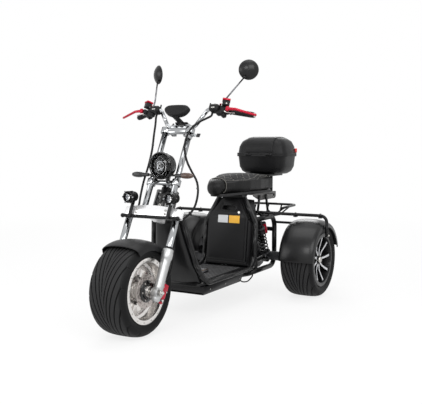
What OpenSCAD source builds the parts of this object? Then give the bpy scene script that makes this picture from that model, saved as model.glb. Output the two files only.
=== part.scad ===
// Three-wheeled electric scooter: raked fork with two spot lamps, step-through floor, twin rear
// wheels under round mudguards, luggage basket and a lidded top case.
// Millimetres. X forward, Y left, Z up; the origin is on the ground under the middle of the outline.

/* [Wheels] */
// Distance between the front and rear axles
wheelbase = 1336; // [1300:1:1380]
// Distance between the middles of the rear tyres
track = 868; // [862:1:890]
// Outside radius of the tyres
tyre_r = 238.5; // [235:0.5:241]
// Section width of the tyres
tyre_w = 215; // [205:1:216]
// Height of the tyres' sidewalls above the rim flanges
wall_h = 68.5; // [64:0.5:72]
// Width between the rim flanges' outer faces
rim_w = 197.6; // [190:0.2:200]
// Spokes on each rear rim
rear_spokes = 9; // [7:1:11]
// Windows pressed in the front rim
front_windows = 8; // [6:1:9]
// Radius of the axles inside the hubs
axle_r = 10; // [8:0.5:11]

/* [Fork] */
// Rake of the steering axis from upright, in degrees
rake = 27.2; // [26:0.2:28.4]
// How far the front axle stands ahead of the fork legs
axle_lead = 12.5; // [8:0.5:15]
// Distance from the fork legs back to the steering axis
fork_offset = 60; // [56:1:64]
// Half the distance between the fork legs
leg_y = 150; // [148:1:156]
// Half the distance between the upper tubes
upper_y = 80; // [76:1:84]
// Radius of the fork's chrome stanchions
stanchion_r = 19; // [17:0.5:20]
// Radius of the upper tubes
upper_r = 16; // [14:0.5:17]
// Height of the lower clamp's underside above the axle, along the fork
lower_clamp_z = 403; // [396:1:410]
// Height of the middle clamp's underside above the axle, along the fork
mid_clamp_z = 597; // [592:1:602]
// Height of the top clamp's underside above the axle, along the fork
top_clamp_z = 915; // [900:1:930]
// Length of each grip
grip_l = 130; // [115:1:140]
// Radius of the handlebar tube
bar_r = 11; // [10:0.5:12]
// Radius of the bore in each bar end
bar_bore_r = 8; // [6:0.5:8.5]
// Diameter of the mirror heads
mirror_d = 105; // [90:1:115]
// Diameter of the headlamp
headlamp_d = 148; // [140:1:152]

/* [Body] */
// Height of the footboard
floor_z = 205; // [200:1:212]
// Half width of the floor over its edge bands
floor_y = 193; // [188:1:198]
// Height of the belly pan's underside
belly_z = 135; // [125:1:142]
// Half width of the battery housing at its widest
box_y = 190; // [184:1:196]
// Height of the battery housing above the footboard
box_h = 432; // [424:1:436]
// Lean of the battery housing, in degrees
box_lean = 7; // [4:0.5:9]
// Gap between the battery housing's height and the seat pan
seat_gap = 19; // [16:1:27]
// Half width of the seat
seat_y = 138; // [128:1:146]

/* [Rear] */
// Thickness of the mudguard shells
guard_t = 3; // [2.5:0.5:4]
// Gap between a tyre's crown and its mudguard
guard_gap = 18; // [16:1:24]
// Gap between the rear mudguards' tops and the rail over them
rail_gap = 18; // [14:1:28]
// Distance from the rear axle back to the luggage basket's rear rail
basket_back = 325; // [300:5:360]
// Half width of the luggage basket
basket_y = 208; // [200:1:216]
// Distance from the rear axle back to the rear of the top case
case_back = 425.5; // [420:0.5:450]
// Length of the top case
case_l = 282; // [270:1:295]
// Width of the top case
case_w = 384; // [360:1:400]
// Height of the top case's underside above the seat pan's
case_lift = 116; // [112:1:134]
// Height of the top case's lower half
case_base_h = 134; // [125:1:140]
// Height of the top case's lid
case_lid_h = 120; // [110:1:126]
// Wall of the top case
case_wall = 4; // [3:0.5:5]

/* [Hidden] */
$fn = 48;

// Clearances: a running fit, a seat between two fixed pieces, and free space round what moves
run = 0.3;
seat = 0.3;
free = 6;

front_x = (wheelbase + case_back - tyre_r) / 2;
rear_x = front_x - wheelbase;
wheel_y = track / 2;
legs_x = -axle_lead;
axis_x = -axle_lead - fork_offset;
flange_r = tyre_r - wall_h;
hoop_r = 10;
rail_z = 2 * tyre_r + guard_gap + guard_t + rail_gap + hoop_r;
seat_z = floor_z + box_h + seat_gap;
case_z = seat_z + case_lift;

// Vectors, rings and lofts

function unit(v) = v / norm(v);
function flip(p) = [p[0], -p[1], p[2]];
function mix(a, b, t) = a + (b - a) * t;
function power(v, e) = sign(v) * pow(abs(v), e);
function arc(c, r, a0, a1, n) = [for (i = [0 : n])
    c + r * [cos(mix(a0, a1, i / n)), sin(mix(a0, a1, i / n))]];

// A point of the fork's own frame: x ahead of the axle, z up along the fork
function fork_at(p) = [
    front_x + p[0] * cos(rake) - p[2] * sin(rake),
    p[1],
    tyre_r + p[0] * sin(rake) + p[2] * cos(rake)];

// Superellipse rings: flat at a height, or upright across the scooter
function flat_ring(z, c, a, b, e, n = 36) =
    [for (i = [0 : n - 1]) [c + a * power(cos(360 * i / n), e), b * power(sin(360 * i / n), e), z]];
function cross_ring(x, w, z0, z1, e, n = 28) =
    [for (i = [0 : n - 1]) [x, w * power(cos(360 * i / n), e),
        (z0 + z1) / 2 + (z1 - z0) / 2 * power(sin(360 * i / n), e)]];

// A smooth curve through a route's points, with k steps between two of them
function curve(pts, k) = concat([for (i = [0 : len(pts) - 2]) for (j = [0 : k - 1])
    let (a = pts[max(i - 1, 0)], b = pts[i], c = pts[i + 1], d = pts[min(i + 2, len(pts) - 1)], t = j / k)
    0.5 * (2 * b + (c - a) * t + (2 * a - 5 * b + 4 * c - d) * t * t
        + (3 * b - a - 3 * c + d) * t * t * t)], [pts[len(pts) - 1]]);
function tangent(pts, i) = unit(pts[min(i + 1, len(pts) - 1)] - pts[max(i - 1, 0)]);
function cord_ring(p, t, r, n) = let (u = unit(cross([0.31, 0.95, 0.05], t)), v = cross(t, u))
    [for (i = [0 : n - 1]) p + r * (u * cos(360 * i / n) + v * sin(360 * i / n))];

module loft(rings) {
    n = len(rings[0]);
    m = len(rings);
    sides = [for (k = [0 : m - 2]) for (i = [0 : n - 1]) let (j = (i + 1) % n)
        [(k + 1) * n + i, (k + 1) * n + j, k * n + j, k * n + i]];
    caps = [[for (i = [0 : n - 1]) i], [for (i = [0 : n - 1]) m * n - 1 - i]];
    polyhedron([for (ring = rings) each ring], concat(sides, caps), convexity = 4);
}

module cord(pts, r, k = 3, n = 8) {
    route = curve(pts, k);
    loft([for (i = [0 : len(route) - 1]) cord_ring(route[i], tangent(route, i), r, n)]);
}

// A straight bar between two points, and a tube with round bends through several
module bar(a, b, r) {
    d = b - a;
    translate(a) rotate([0, acos(d[2] / norm(d)), atan2(d[1], d[0])]) cylinder(h = norm(d), r = r);
}

// The elbow is a hair thinner than the tube and reaches a little way into both of its ends
bend_step = 0.15;
bend_reach = 2;

module bend(a, p, b, r, bend_r) {
    u = unit(p - a);
    w = unit(b - p);
    turn = acos(u * w);
    n = unit(w - u * (u * w));
    c = p - u * bend_r * tan(turn / 2) + n * bend_r;
    s = cross(-n, u);
    multmatrix([[-n[0], u[0], s[0], c[0]], [-n[1], u[1], s[1], c[1]], [-n[2], u[2], s[2], c[2]]])
        rotate(-bend_reach) rotate_extrude(angle = turn + 2 * bend_reach)
            translate([bend_r, 0]) circle(r - bend_step);
}

module bent_tube(pts, r, bend_r) {
    last = len(pts) - 1;
    cut = [for (i = [0 : last]) i == 0 || i == last ? 0
        : bend_r * tan(acos(unit(pts[i] - pts[i - 1]) * unit(pts[i + 1] - pts[i])) / 2)];
    for (i = [0 : last - 1]) {
        u = unit(pts[i + 1] - pts[i]);
        bar(pts[i] + u * cut[i], pts[i + 1] - u * cut[i + 1], r);
    }
    for (i = [1 : last - 1]) bend(pts[i - 1], pts[i], pts[i + 1], r, bend_r);
}

module both_sides() {
    children();
    mirror([0, 1, 0]) children();
}

module fork_frame() translate([front_x, 0, tyre_r]) rotate([0, -rake, 0]) children();
module wheel_frame(x, y) translate([x, y, tyre_r]) rotate([-90, 0, 0]) children();
module across(y0, y1, r) translate([0, y0, 0]) rotate([-90, 0, 0]) cylinder(h = y1 - y0, r = r);

// Tyres and rims, turned about the wheel's own Z

bead_r = flange_r - 17;
rim_lip = 7;
slider_r = 26;

// Half of the tyre's section, from the bead over the sidewall to the crown: [radius, distance from
// the middle]
wall_r = 40;
tyre_half = concat(
    [[bead_r + seat, rim_w / 2 - rim_lip - seat], [flange_r + 1, rim_w / 2 - rim_lip - seat]],
    [for (a = [-32 : 11 : 45]) [flange_r + 26 + wall_r * sin(a), tyre_w / 2 - wall_r * (1 - cos(a))]],
    [[tyre_r - 6, tyre_w / 2 - 27], [tyre_r - 2, tyre_w / 2 - 52], [tyre_r, tyre_w / 2 - 85]]);

module tyre_form() rotate_extrude($fn = 96) polygon(concat(tyre_half,
    [for (i = [len(tyre_half) - 1 : -1 : 0]) [tyre_half[i][0], -tyre_half[i][1]]]));

module rim_barrel() rotate_extrude($fn = 96) polygon([
    [bead_r - 6, -rim_w / 2 + 14], [bead_r - 6, -rim_w / 2], [flange_r, -rim_w / 2],
    [flange_r, -rim_w / 2 + rim_lip - 2], [bead_r, -rim_w / 2 + rim_lip],
    [bead_r, -40], [bead_r - 18, -30], [bead_r - 18, 30], [bead_r, 40],
    [bead_r, rim_w / 2 - rim_lip], [flange_r, rim_w / 2 - rim_lip + 2], [flange_r, rim_w / 2],
    [bead_r - 6, rim_w / 2], [bead_r - 6, rim_w / 2 - 14], [bead_r - 6, 44], [bead_r - 24, 34],
    [bead_r - 24, -34], [bead_r - 6, -44]]);

// Front wheel

front_hub_r = 30;
hub_cover_r = 57;
front_hub_w = 2 * (leg_y - slider_r - 1 - free);
disc_r = 87;
disc_t = 4;
disc_y = 88;
dish_r = bead_r - 22;
window_in = hub_cover_r + 14;
window_out = dish_r - 12;
window_turn = 0.56 * 360 / front_windows;

module front_tyre() color("#1c1c1d") wheel_frame(front_x, 0) tyre_form();

module front_rim() color("#c9cacc") wheel_frame(front_x, 0) difference() {
    union() {
        rim_barrel();
        cylinder(h = front_hub_w, r = front_hub_r, center = true);
        cylinder(h = 2 * (disc_y - seat), r = hub_cover_r - 12, center = true);
        rotate_extrude($fn = 96) polygon([[front_hub_r - 4, -4], [hub_cover_r, 22], [hub_cover_r + 20, 34],
            [dish_r + 2, 30], [dish_r + 2, 14], [hub_cover_r + 20, 18], [hub_cover_r, 4],
            [front_hub_r - 4, -22]]);
    }
    cylinder(h = front_hub_w + 2, r = axle_r + run, center = true);
    for (i = [0 : front_windows - 1]) rotate(360 * i / front_windows)
        rotate_extrude(angle = window_turn, $fn = 96) translate([window_in, 0])
            square([window_out - window_in, 50]);
}

// Brake disc on the left of the hub, drilled round its edge
module front_disc() color("#9a948c") wheel_frame(front_x, 0) translate([0, 0, disc_y]) difference() {
    cylinder(h = disc_t, r = disc_r);
    translate([0, 0, -1]) cylinder(h = disc_t + 2, r = front_hub_r + seat);
    for (i = [0 : 11]) rotate(30 * i) {
        translate([disc_r - 10, 0, -1]) cylinder(h = disc_t + 2, r = 4);
        rotate(15) translate([disc_r - 22, 0, -1]) cylinder(h = disc_t + 2, r = 4);
    }
}

// Rear wheels

rear_hub_r = 36;
rear_face = 70;
axle_end = 38;
spoke_in = rear_hub_r - 8;
spoke_out = bead_r - 2;
spoke_sweep = 6;

// Half width and sweep of a spoke at a share t of its length
function spoke_half(t) = 8 - 10 * t + 12 * t * t;
function spoke_point(t, side) = let (r = mix(spoke_in, spoke_out, t), a = spoke_sweep * pow(t, 1.4))
    [r * cos(a) - side * spoke_half(t) * sin(a), r * sin(a) + side * spoke_half(t) * cos(a)];

module rear_tyre(side) wheel_frame(rear_x, side * wheel_y) tyre_form();

module rear_rim(side) wheel_frame(rear_x, side * wheel_y) mirror([0, 0, side > 0 ? 0 : 1]) difference() {
    union() {
        rim_barrel();
        translate([0, 0, -20]) cylinder(h = rear_face + 16, r = rear_hub_r);
        cylinder(h = rear_face + 8, r = rear_hub_r - 12);
        intersection() {
            linear_extrude(rim_w) for (i = [0 : rear_spokes - 1]) rotate(360 * (i + 0.5) / rear_spokes)
                polygon(concat([for (k = [0 : 5]) spoke_point(k / 5, -1)],
                    [for (k = [5 : -1 : 0]) spoke_point(k / 5, 1)]));
            rotate_extrude($fn = 96) polygon([[spoke_in - 6, rear_face - 44], [spoke_in - 6, rear_face],
                [spoke_in + 44, rear_face], [spoke_out, rim_w / 2 - 8], [spoke_out, rim_w / 2 - 36]]);
        }
    }
    translate([0, 0, -21]) cylinder(h = 21 + axle_end + free, r = axle_r + run);
}

module rear_left_tyre() color("#1c1c1d") rear_tyre(1);
module rear_right_tyre() color("#1c1c1d") rear_tyre(-1);
module rear_left_rim() color("#26272a") rear_rim(1);
module rear_right_rim() color("#26272a") rear_rim(-1);

// Fork and steering

clamp_t = 44;
clamp_rise = 14;
collar_r = slider_r + 4;
slider_top = tyre_r - 3.5;
stanchion_foot = 60;
upper_x = legs_x - 14;
stem_r = 15;
mid_t = 30;
top_t = 26;
bar_x = legs_x - 37;
bar_z = top_clamp_z + top_t + bar_r + 10;
riser_top = bar_z + bar_r + 8;
lower_clamp_top = lower_clamp_z + clamp_t;

// Tall cast clamp with a gently arched top, the fork legs' sockets at its ends and the steering stem behind
module lower_clamp() color("#e2e3e4") fork_frame() difference() {
    union() {
        for (y = [-1, 1]) translate([legs_x, y * leg_y, lower_clamp_z])
            cylinder(h = clamp_t, r = stanchion_r + 13);
        translate([legs_x - 26, 0, lower_clamp_z]) rotate([90, 0, 90]) linear_extrude(58) polygon(concat(
            [[-leg_y, 0], [leg_y, 0]],
            [for (a = [0 : 15 : 180]) [leg_y * cos(a), clamp_t - 1 + clamp_rise * pow(sin(a), 2)]]));
        translate([axis_x, 0, lower_clamp_z]) cylinder(h = clamp_t, r = 36);
        translate([axis_x, -36, lower_clamp_z]) cube([legs_x - axis_x, 72, clamp_t - 2]);
        translate([axis_x, 0, lower_clamp_top - 1])
            cylinder(h = mid_clamp_z - lower_clamp_top + mid_t, r = stem_r);
    }
    for (y = [-1, 1]) {
        translate([legs_x, y * leg_y, lower_clamp_z - 1])
            cylinder(h = clamp_t + clamp_rise + 2, r = stanchion_r + seat);
        translate([upper_x, y * upper_y, lower_clamp_z + 8])
            cylinder(h = clamp_t + clamp_rise, r = upper_r + seat);
    }
}

// Middle bar and top clamp, each with a boss round both upper tubes; the top clamp carries the bar's risers
module upper_clamps() color("#d3d5d7") fork_frame() difference() {
    union() {
        translate([upper_x, 0, mid_clamp_z + mid_t / 2]) across(-upper_y, upper_y, mid_t / 2 - 1);
        translate([axis_x, 0, mid_clamp_z]) cylinder(h = mid_t, r = stem_r + 8);
        translate([axis_x, -12, mid_clamp_z + 2]) cube([upper_x - axis_x, 24, mid_t - 4]);
        translate([upper_x - 13, -upper_y, top_clamp_z]) cube([26, 2 * upper_y, top_t]);
        for (y = [-1, 1]) {
            translate([upper_x, y * upper_y, mid_clamp_z - 2]) cylinder(h = mid_t + 4, r = upper_r + 9);
            translate([upper_x, y * upper_y, top_clamp_z - 3]) cylinder(h = top_t + 6, r = upper_r + 10);
            translate([bar_x, y * 42 - 14, bar_z]) across(0, 28, bar_r + 8);
            translate([bar_x - 17, y * 42 - 14, top_clamp_z]) cube([34, 28, bar_z - top_clamp_z]);
        }
        translate([upper_x - 4, upper_y + upper_r + 2, top_clamp_z - 26]) rotate([90, 0, 60])
            cylinder(h = 44, r = 12);
    }
    for (y = [-1, 1]) translate([upper_x, y * upper_y, 0]) cylinder(h = 2 * top_clamp_z, r = upper_r + seat);
    translate([axis_x, 0, mid_clamp_z - 1]) cylinder(h = mid_t + 2, r = stem_r + seat);
    translate([bar_x, 0, bar_z]) across(-100, 100, bar_r + seat);
}

module fork_tubes() color("#d9dadb") fork_frame() both_sides() {
    translate([legs_x, leg_y, stanchion_foot])
        cylinder(h = lower_clamp_top + 4 - stanchion_foot, r = stanchion_r);
    translate([upper_x, upper_y, lower_clamp_z + 9])
        cylinder(h = top_clamp_z + top_t + 4 - lower_clamp_z - 9, r = upper_r);
}

// Cast lower legs: a collar at the top, a slim waist and a flattened lug round the axle
module fork_sliders() color("#b9bbbd") fork_frame() both_sides() difference() {
    union() {
        translate([legs_x, leg_y, 0]) rotate_extrude()
            polygon([[0, -46], [slider_r - 10, -46], [slider_r - 3, -36], [slider_r - 2, 40],
                [slider_r, slider_top - 60], [collar_r, slider_top - 48], [collar_r, slider_top - 22],
                [collar_r - 2, slider_top - 20], [collar_r - 2, slider_top - 6], [collar_r - 5, slider_top],
                [0, slider_top]]);
        translate([legs_x + 4, 0, 0]) across(leg_y - 18, leg_y + 18, 30);
        translate([legs_x - slider_r - 6, leg_y - 9, 20]) cube([20, 18, 64]);
    }
    translate([legs_x, leg_y, stanchion_foot - 1]) cylinder(h = slider_top, r = stanchion_r + seat);
    across(leg_y - 60, leg_y + 60, axle_r + seat);
}

module front_axle() color("#8d9093") fork_frame() difference() {
    union() {
        across(-leg_y - slider_r - 8, leg_y + slider_r + 8, axle_r);
        for (y = [-leg_y - slider_r - 10, leg_y + slider_r + 1]) across(y, y + 9, axle_r + 6);
    }
    across(-leg_y - 60, leg_y + 60, axle_r - 4);
}

guard_r = tyre_r + guard_gap;

// Arched shell of a mudguard, turned about the wheel's axle; a0 and a1 count from straight ahead,
// and the side towards the frame can have a wall below the arch
puff = 5;

module guard_shell(half_w, side_r, a0, a1, wall = 0) rotate([0, -a0, 0]) rotate([90, 0, 0])
    rotate_extrude(angle = a1 - a0, $fn = 120) polygon(concat(
        [for (i = [0 : 12]) let (a = 180 * i / 12)
            [side_r + (guard_r + guard_t - side_r) * pow(sin(a), 0.55), -half_w * cos(a)]],
        wall > 0 ? [for (p = [[12, puff], [wall, puff], [wall, puff - guard_t], [12, puff - guard_t]])
            [side_r - p[0], half_w + p[1]]] : [],
        [for (i = [12 : -1 : 0]) let (a = 180 * i / 12)
            [side_r + (guard_r - side_r) * pow(sin(a), 0.55), -(half_w - guard_t) * cos(a)]]));

front_guard_w = leg_y - collar_r - 2;
front_guard_lip = tyre_r - 32;

module front_mudguard() color("#232426") {
    translate([front_x, 0, tyre_r]) guard_shell(front_guard_w, front_guard_lip, 66, 130);
    fork_frame() both_sides() translate([legs_x - 9, front_guard_w - guard_t / 2, slider_top - 44])
        cube([18, leg_y - collar_r - seat - front_guard_w + guard_t / 2, 20]);
}

caliper_x = legs_x - 92;

// Caliper over the disc's rear edge, on an arm that is bolted behind the left leg
module front_caliper() color("#c0182c") fork_frame() difference() {
    union() {
        translate([caliper_x, disc_y + 2, 22]) across(-22, 30, 26);
        translate([caliper_x - 16, disc_y - 20, 4]) cube([38, 52, 56]);
        translate([caliper_x + 8, leg_y - 34, 30]) cube([92 - slider_r - 14 - seat, 36, 34]);
    }
    translate([0, disc_y - free + 0.5, 0]) across(0, disc_t + 2 * free - 1, disc_r + free);
}

fork_bar_r = 9;
fork_bar_z = lower_clamp_z - fork_bar_r - seat;

fork_bar_x = legs_x + 30;
fork_bar_y = leg_y + stanchion_r + 6;

module fork_bar() color("#1e1f21") fork_frame() translate([fork_bar_x, 0, fork_bar_z]) {
    across(-fork_bar_y, fork_bar_y, fork_bar_r);
    both_sides() translate([0, fork_bar_y, 0]) sphere(fork_bar_r + 3);
}

grip_dir = unit([-82, 137, 13]);
bar_tip = [-143, 385, 1086];
bar_straight = 205;
lever_root = [-20, 285, 1060];
lever_tip = [-66, 439, 1043];
bar_route = [[bar_x, 85, bar_z], [-33, 161, 1076], bar_tip - grip_dir * bar_straight, bar_tip];
bar_path = concat([for (i = [3 : -1 : 0]) flip(bar_route[i])], bar_route);

module along_grip(d) {
    translate(bar_tip + grip_dir * d) rotate([0, acos(grip_dir[2]), atan2(grip_dir[1], grip_dir[0])])
        children();
}

module handlebar() color("#d9dadb") fork_frame() difference() {
    bent_tube(bar_path, bar_r, 45);
    both_sides() along_grip(-40) cylinder(h = 60, r = bar_bore_r);
}

module grips() color("#1b1b1c") fork_frame() both_sides() along_grip(-grip_l) difference() {
    union() {
        cylinder(h = grip_l, r = bar_r + 5);
        cylinder(h = 8, r = bar_r + 9);
    }
    translate([0, 0, -1]) cylinder(h = grip_l + 2, r = bar_r + seat);
}

// Switch cluster, master cylinder and lever perch at the inner end of each grip; -x is up and -y is ahead
perch_l = 62;
control_play = 5;
perch_r = bar_r + 8;
pivot = [-18, -46, -26];

module bar_controls() color("#1e1f21") fork_frame() both_sides() {
    along_grip(-grip_l) difference() {
        union() {
            translate([0, 0, -perch_l]) cylinder(h = perch_l - 2, r = perch_r);
            translate([-26, -24, -perch_l + 2]) cube([52, 40, 30]);
            translate([-2, -44.7, -36]) cube([28, 44.7, 28]);
            translate([-42, -46, -52]) cube([30, 34, 40]);
            translate([10, -16, -48]) cube([30, 34, 30]);
        }
        translate([0, 0, -90]) cylinder(h = 120, r = bar_r + seat);
    }
    difference() {
        translate([-66, 166, 1051]) cube([55, 60, 42]);
        bar([-32.5, 160, 1071.5], [-46.5, 232, 1068.5], bar_r + control_play);
    }
    translate(stem_foot - [0, 0, 14]) cylinder(h = 14 - seat, r = 8);
}

// Red levers that sweep out ahead of the grips, and the red caps of the master cylinders
module brake_levers() color("#c0182c") fork_frame() both_sides() {
    along_grip(-grip_l) translate([-52, -48, -54]) cube([10 - seat, 38, 44]);
    hull() {
        translate(lever_root) sphere(9, $fn = 12);
        translate(mix(lever_root, lever_tip, 0.3) + [9, 0, 4]) sphere(7.5, $fn = 12);
    }
    hull() {
        translate(mix(lever_root, lever_tip, 0.3) + [9, 0, 4]) sphere(7.5, $fn = 12);
        translate(lever_tip) sphere(6.5, $fn = 12);
    }
}

display_at = [29, 0, 1021];

// Pod with six rounded corners on a short bracket that stands on the risers
module display() color("#1d1e20") fork_frame() {
    translate(display_at) hull() for (x = [[-20, 0.8], [-8, 1], [14, 1], [22, 0.86]]) translate([x[0], 0, 0])
        rotate([90, 0, 90]) linear_extrude(1) scale(x[1])
            polygon([[-54, 34], [54, 34], [74, 22], [80, 4], [44, -32],
            [-44, -32], [-80, 4], [-74, 22]]);
    translate([bar_x - 14, -40, riser_top + seat]) cube([28, 80, 10]);
    translate([bar_x, -18, riser_top + seat]) cube([display_at[0] + 8 - bar_x, 36, 10]);
    translate([display_at[0] - 14, -18, riser_top + 8]) cube([22, 36, 26]);
}

lamp_x = -270.5;
lamp_z = 625.5;

module at_headlamp() translate([front_x + lamp_x, 0, tyre_r + lamp_z]) rotate([0, 90, 0]) children();

signal_at = [8, 100, 642];
signal_r = 9;

// Round shell with a stepped bezel; a stalk through its base carries the signals and two arms
// reach the middle bar
module headlamp() color("#202124") {
    at_headlamp() rotate_extrude() polygon([[0, -104], [24, -102], [42, -86], [57, -68],
        [headlamp_d / 2 - 4, -50], [headlamp_d / 2, -38], [headlamp_d / 2, 0], [headlamp_d / 2 - 6, 0],
        [headlamp_d / 2 - 8, -14], [44, -14], [42, -6], [38, -6], [36, -14], [20, -14], [18, -8], [0, -8]]);
    fork_frame() {
        translate([signal_at[0], 0, signal_at[2]])
            across(-signal_at[1] + signal_r + seat, signal_at[1] - signal_r - seat, 6);
        both_sides() translate([upper_x + mid_t / 2 - 1 + seat, 34, mid_clamp_z + 4]) cube([26, 12, 44]);
    }
}

module lamp_lenses() color("#dfe6ea") {
    at_headlamp() difference() {
        translate([0, 0, -3]) cylinder(h = 2.6, r = headlamp_d / 2 - 6 - 2 * seat);
    }
    both_sides() translate([front_x + spot_x - 3, spot_y, tyre_r + spot_z]) rotate([0, 90, 0])
        cylinder(h = 2.6, r = spot_lens_r);
}

module turn_signals() color("#5a3a2a") fork_frame() both_sides() hull() {
    translate(signal_at) sphere(signal_r, $fn = 16);
    translate(signal_at + [0, 58, 0]) sphere(14, $fn = 16);
    translate(signal_at + [0, 92, 0]) sphere(8, $fn = 16);
}

spot_x = -153.5;
spot_y = 132;
spot_z = 459.5;

// Finned housings behind a three-bolt bezel, each on an arm that rises from the bar under the lower clamp
spot_fins = 5;
spot_arm = 100;
spot_r = 32;
spot_lens_r = 24;

module spot_lamps() color("#1c1d1f") both_sides() {
    translate([front_x + spot_x, spot_y, tyre_r + spot_z]) rotate([0, -90, 0]) {
        difference() {
            cylinder(h = 16, r = spot_r);
            translate([0, 0, -1]) cylinder(h = 6, r = spot_lens_r + seat);
        }
        for (a = [90, 210, 330]) rotate(a) translate([spot_r + 1, 0, 0]) cylinder(h = 20, r = 5);
        translate([0, 0, 15]) cylinder(h = 48, r = spot_r - 11);
        for (i = [0 : spot_fins - 1]) translate([0, 0, 20 + 9 * i]) cylinder(h = 4, r = spot_r - 1 - i);
    }
    fork_frame() {
        translate([fork_bar_x + fork_bar_r + seat, spot_y - 20, fork_bar_z - fork_bar_r])
            cube([7, 18, spot_arm]);
    }
}

mirror_c = [-102, 309, 1357];
stem_foot = [-56, 235, 1100];
stem_lean = unit([2, -17, -57]);
mirror_ball = 8;
ball_c = mirror_c + stem_lean * (mirror_d / 2 - 2);

module mirrors() color("#202123") both_sides() {
    translate(fork_at(mirror_c)) rotate([0, 0, 30]) rotate([0, 90, 0])
        rotate_extrude() polygon(concat([[0, -6], [mirror_d / 2 - 3, -6], [mirror_d / 2, -3]],
            arc([0, -60], norm([mirror_d / 2, 60]), 44, 90, 6)));
    translate(fork_at(ball_c)) sphere(mirror_ball);
}

module mirror_stems() color("#c9cbcd") fork_frame() both_sides()
    bent_tube([stem_foot, stem_foot + [0, 1, 42], ball_c + unit(stem_foot + [0, 1, 42] - ball_c)
        * (mirror_ball + seat)],
        4.5, 20);

module steering_cables() color("#161617") fork_frame() {
    cord([[-40, 184, 1050.6], [-40, 184, 1040], [-38, 182, 1026], [-24, 162, 1002], [-5, 140, 972],
        [27, 115, 905], [24, 104, 816], [-9, 118, 743], [-42, 150, 687], [-66, 182, 639],
        [-76, 200, 570], [-86, 190, 490], [-74, 154, 430],
        [-46.2, 150, 426]], 6);
    cord([[-40, -184, 1050.6], [-40, -184, 1040], [-39, -183, 1024], [-32, -168, 975], [-22, -150, 902],
        [-20, -132, 805], [-24, -130, 708], [-34, -140, 619], [-42, -140, 536], [-34, -128, 486],
        [-30, -124, 451.4]], 6);
}

// Frame and body

head_r = 30;
head_low = lower_clamp_top + 1;
head_high = mid_clamp_z - 1;
spine_top = [axis_x, 0, (head_low + head_high) / 2 + 40];
spine_knee = [axis_x - 78, 0, head_low + 2];
spine_r = 22;
rail_r = 16;
belly_front = front_x - 461.5;
belly_rear = rear_x + 419.5;
rails_z = 168;
rails_y = 120;
rails_front = belly_front - 30;
loop_x = rear_x - 57;
loop_y = 165;
loop_z = 170;
loop_top = rail_z - hoop_r - rail_r - seat;
box_x = rear_x + 256;
pivot_x = rear_x + 215;
pivot_z = 220;
pivot_r = 9;
arm_y = 135;
strut_r = 8;
strut_y = 120;

// Struts under the seat: [foot ahead of the rear axle, top ahead of the rear axle]
struts = [[112, 80], [-42, -16]];

module spine(r) bent_tube([fork_at(spine_top), fork_at(spine_knee), [rails_front, 0, rails_z]], r, 80);

module frame() color("#17181a") {
    difference() {
        union() {
            fork_frame() translate([axis_x, 0, head_low]) cylinder(h = head_high - head_low, r = head_r);
            spine(spine_r);
        }
        fork_frame() translate([axis_x, 0, head_low - 1])
            cylinder(h = head_high - head_low + 2, r = stem_r + run);
    }
    translate([rails_front, 0, rails_z]) across(-rails_y, rails_y, rail_r - 2);
    both_sides() {
        bent_tube([[rails_front, rails_y, rails_z], [belly_rear + 5, rails_y, rails_z],
            [belly_rear - 90, loop_y, loop_z], [loop_x, loop_y, loop_z], [loop_x, loop_y, loop_top],
            [box_x - 24, loop_y, loop_top]], rail_r, 70);
        for (s = struts) bent_tube([[rear_x + s[0], loop_y, loop_top],
            [rear_x + s[0] - 3, strut_y, loop_top + 36],
            [rear_x + s[1], strut_y, seat_z - 12]], strut_r, 18);
        translate([loop_x, 0, tyre_r + 219.5]) across(loop_y, wheel_y + guard_out - guard_w - seat, strut_r);
    }
    translate([pivot_x, 0, loop_z]) across(-loop_y, loop_y, rail_r - 2);
    both_sides() translate([pivot_x, 0, pivot_z]) {
        across(arm_y - 24, loop_y - 4, pivot_r);
        translate([-18, arm_y + 22, loop_z - pivot_z]) cube([36, 8, pivot_z - loop_z + 18]);
    }
    translate([loop_x, 0, loop_top - 90]) across(-loop_y, loop_y, rail_r - 2);
}

neck_w = 58;
neck_low = lower_clamp_top + clamp_rise + free;

// Faceted cover round the steering head, with a ridge down its front
module neck_cover() color("#1b1c1e") difference() {
    fork_frame() difference() {
        translate([axis_x, 0, neck_low]) linear_extrude(head_high - free - neck_low)
            polygon([[-52, -neck_w + 14],
            [-38, -neck_w], [10, -neck_w], [26, -neck_w + 22], [34, 0], [26, neck_w - 22], [10, neck_w],
            [-38, neck_w], [-52, neck_w - 14]]);
        translate([axis_x + 34, 0, head_high - 44]) rotate([0, -38, 0]) translate([0, -100, 0])
            cube([100, 200, 100]);
        translate([axis_x + 24, 0, neck_low + 20]) rotate([0, 90, 0]) cylinder(h = 40, r = 11);
    }
    fork_frame() translate([axis_x, 0, head_low - 20])
        cylinder(h = head_high - head_low + 40, r = head_r + seat);
    spine(spine_r + seat);
}

// Round edge bands that run from the neck down the leg shield, along the floor and up beside the battery
band_r = 15;
band_y = floor_y - band_r;
band_z = floor_z;
band_path = [[front_x - 345.5, 90, 575], [front_x - 409.5, 140, 315], [front_x - 449.5, band_y, band_z],
    [rear_x + 292.5, band_y, band_z], [rear_x + 256.5, band_y + 2, band_z + 260],
    [rear_x + 240, 88, seat_z - 18]];
panel_y = band_y - band_r - seat;
board_y = panel_y - seat;

module edge_bands() color("#18191b") both_sides() bent_tube(band_path, band_r, 80);

// Sections of the leg shield: [height, rear edge behind the front axle, front behind it, gap to
// the panel's half width]
shield = [[floor_z + 2, 458.5, 420.5, 12], [262, 439.5, 397.5, 20], [315, 416.5, 375.5, 39],
    [440, 384.5, 337.5, 64],
    [548, 357.5, 313.5, 84], [572, 349.5, 323.5, 97]];
shield_lip = 12;

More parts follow.
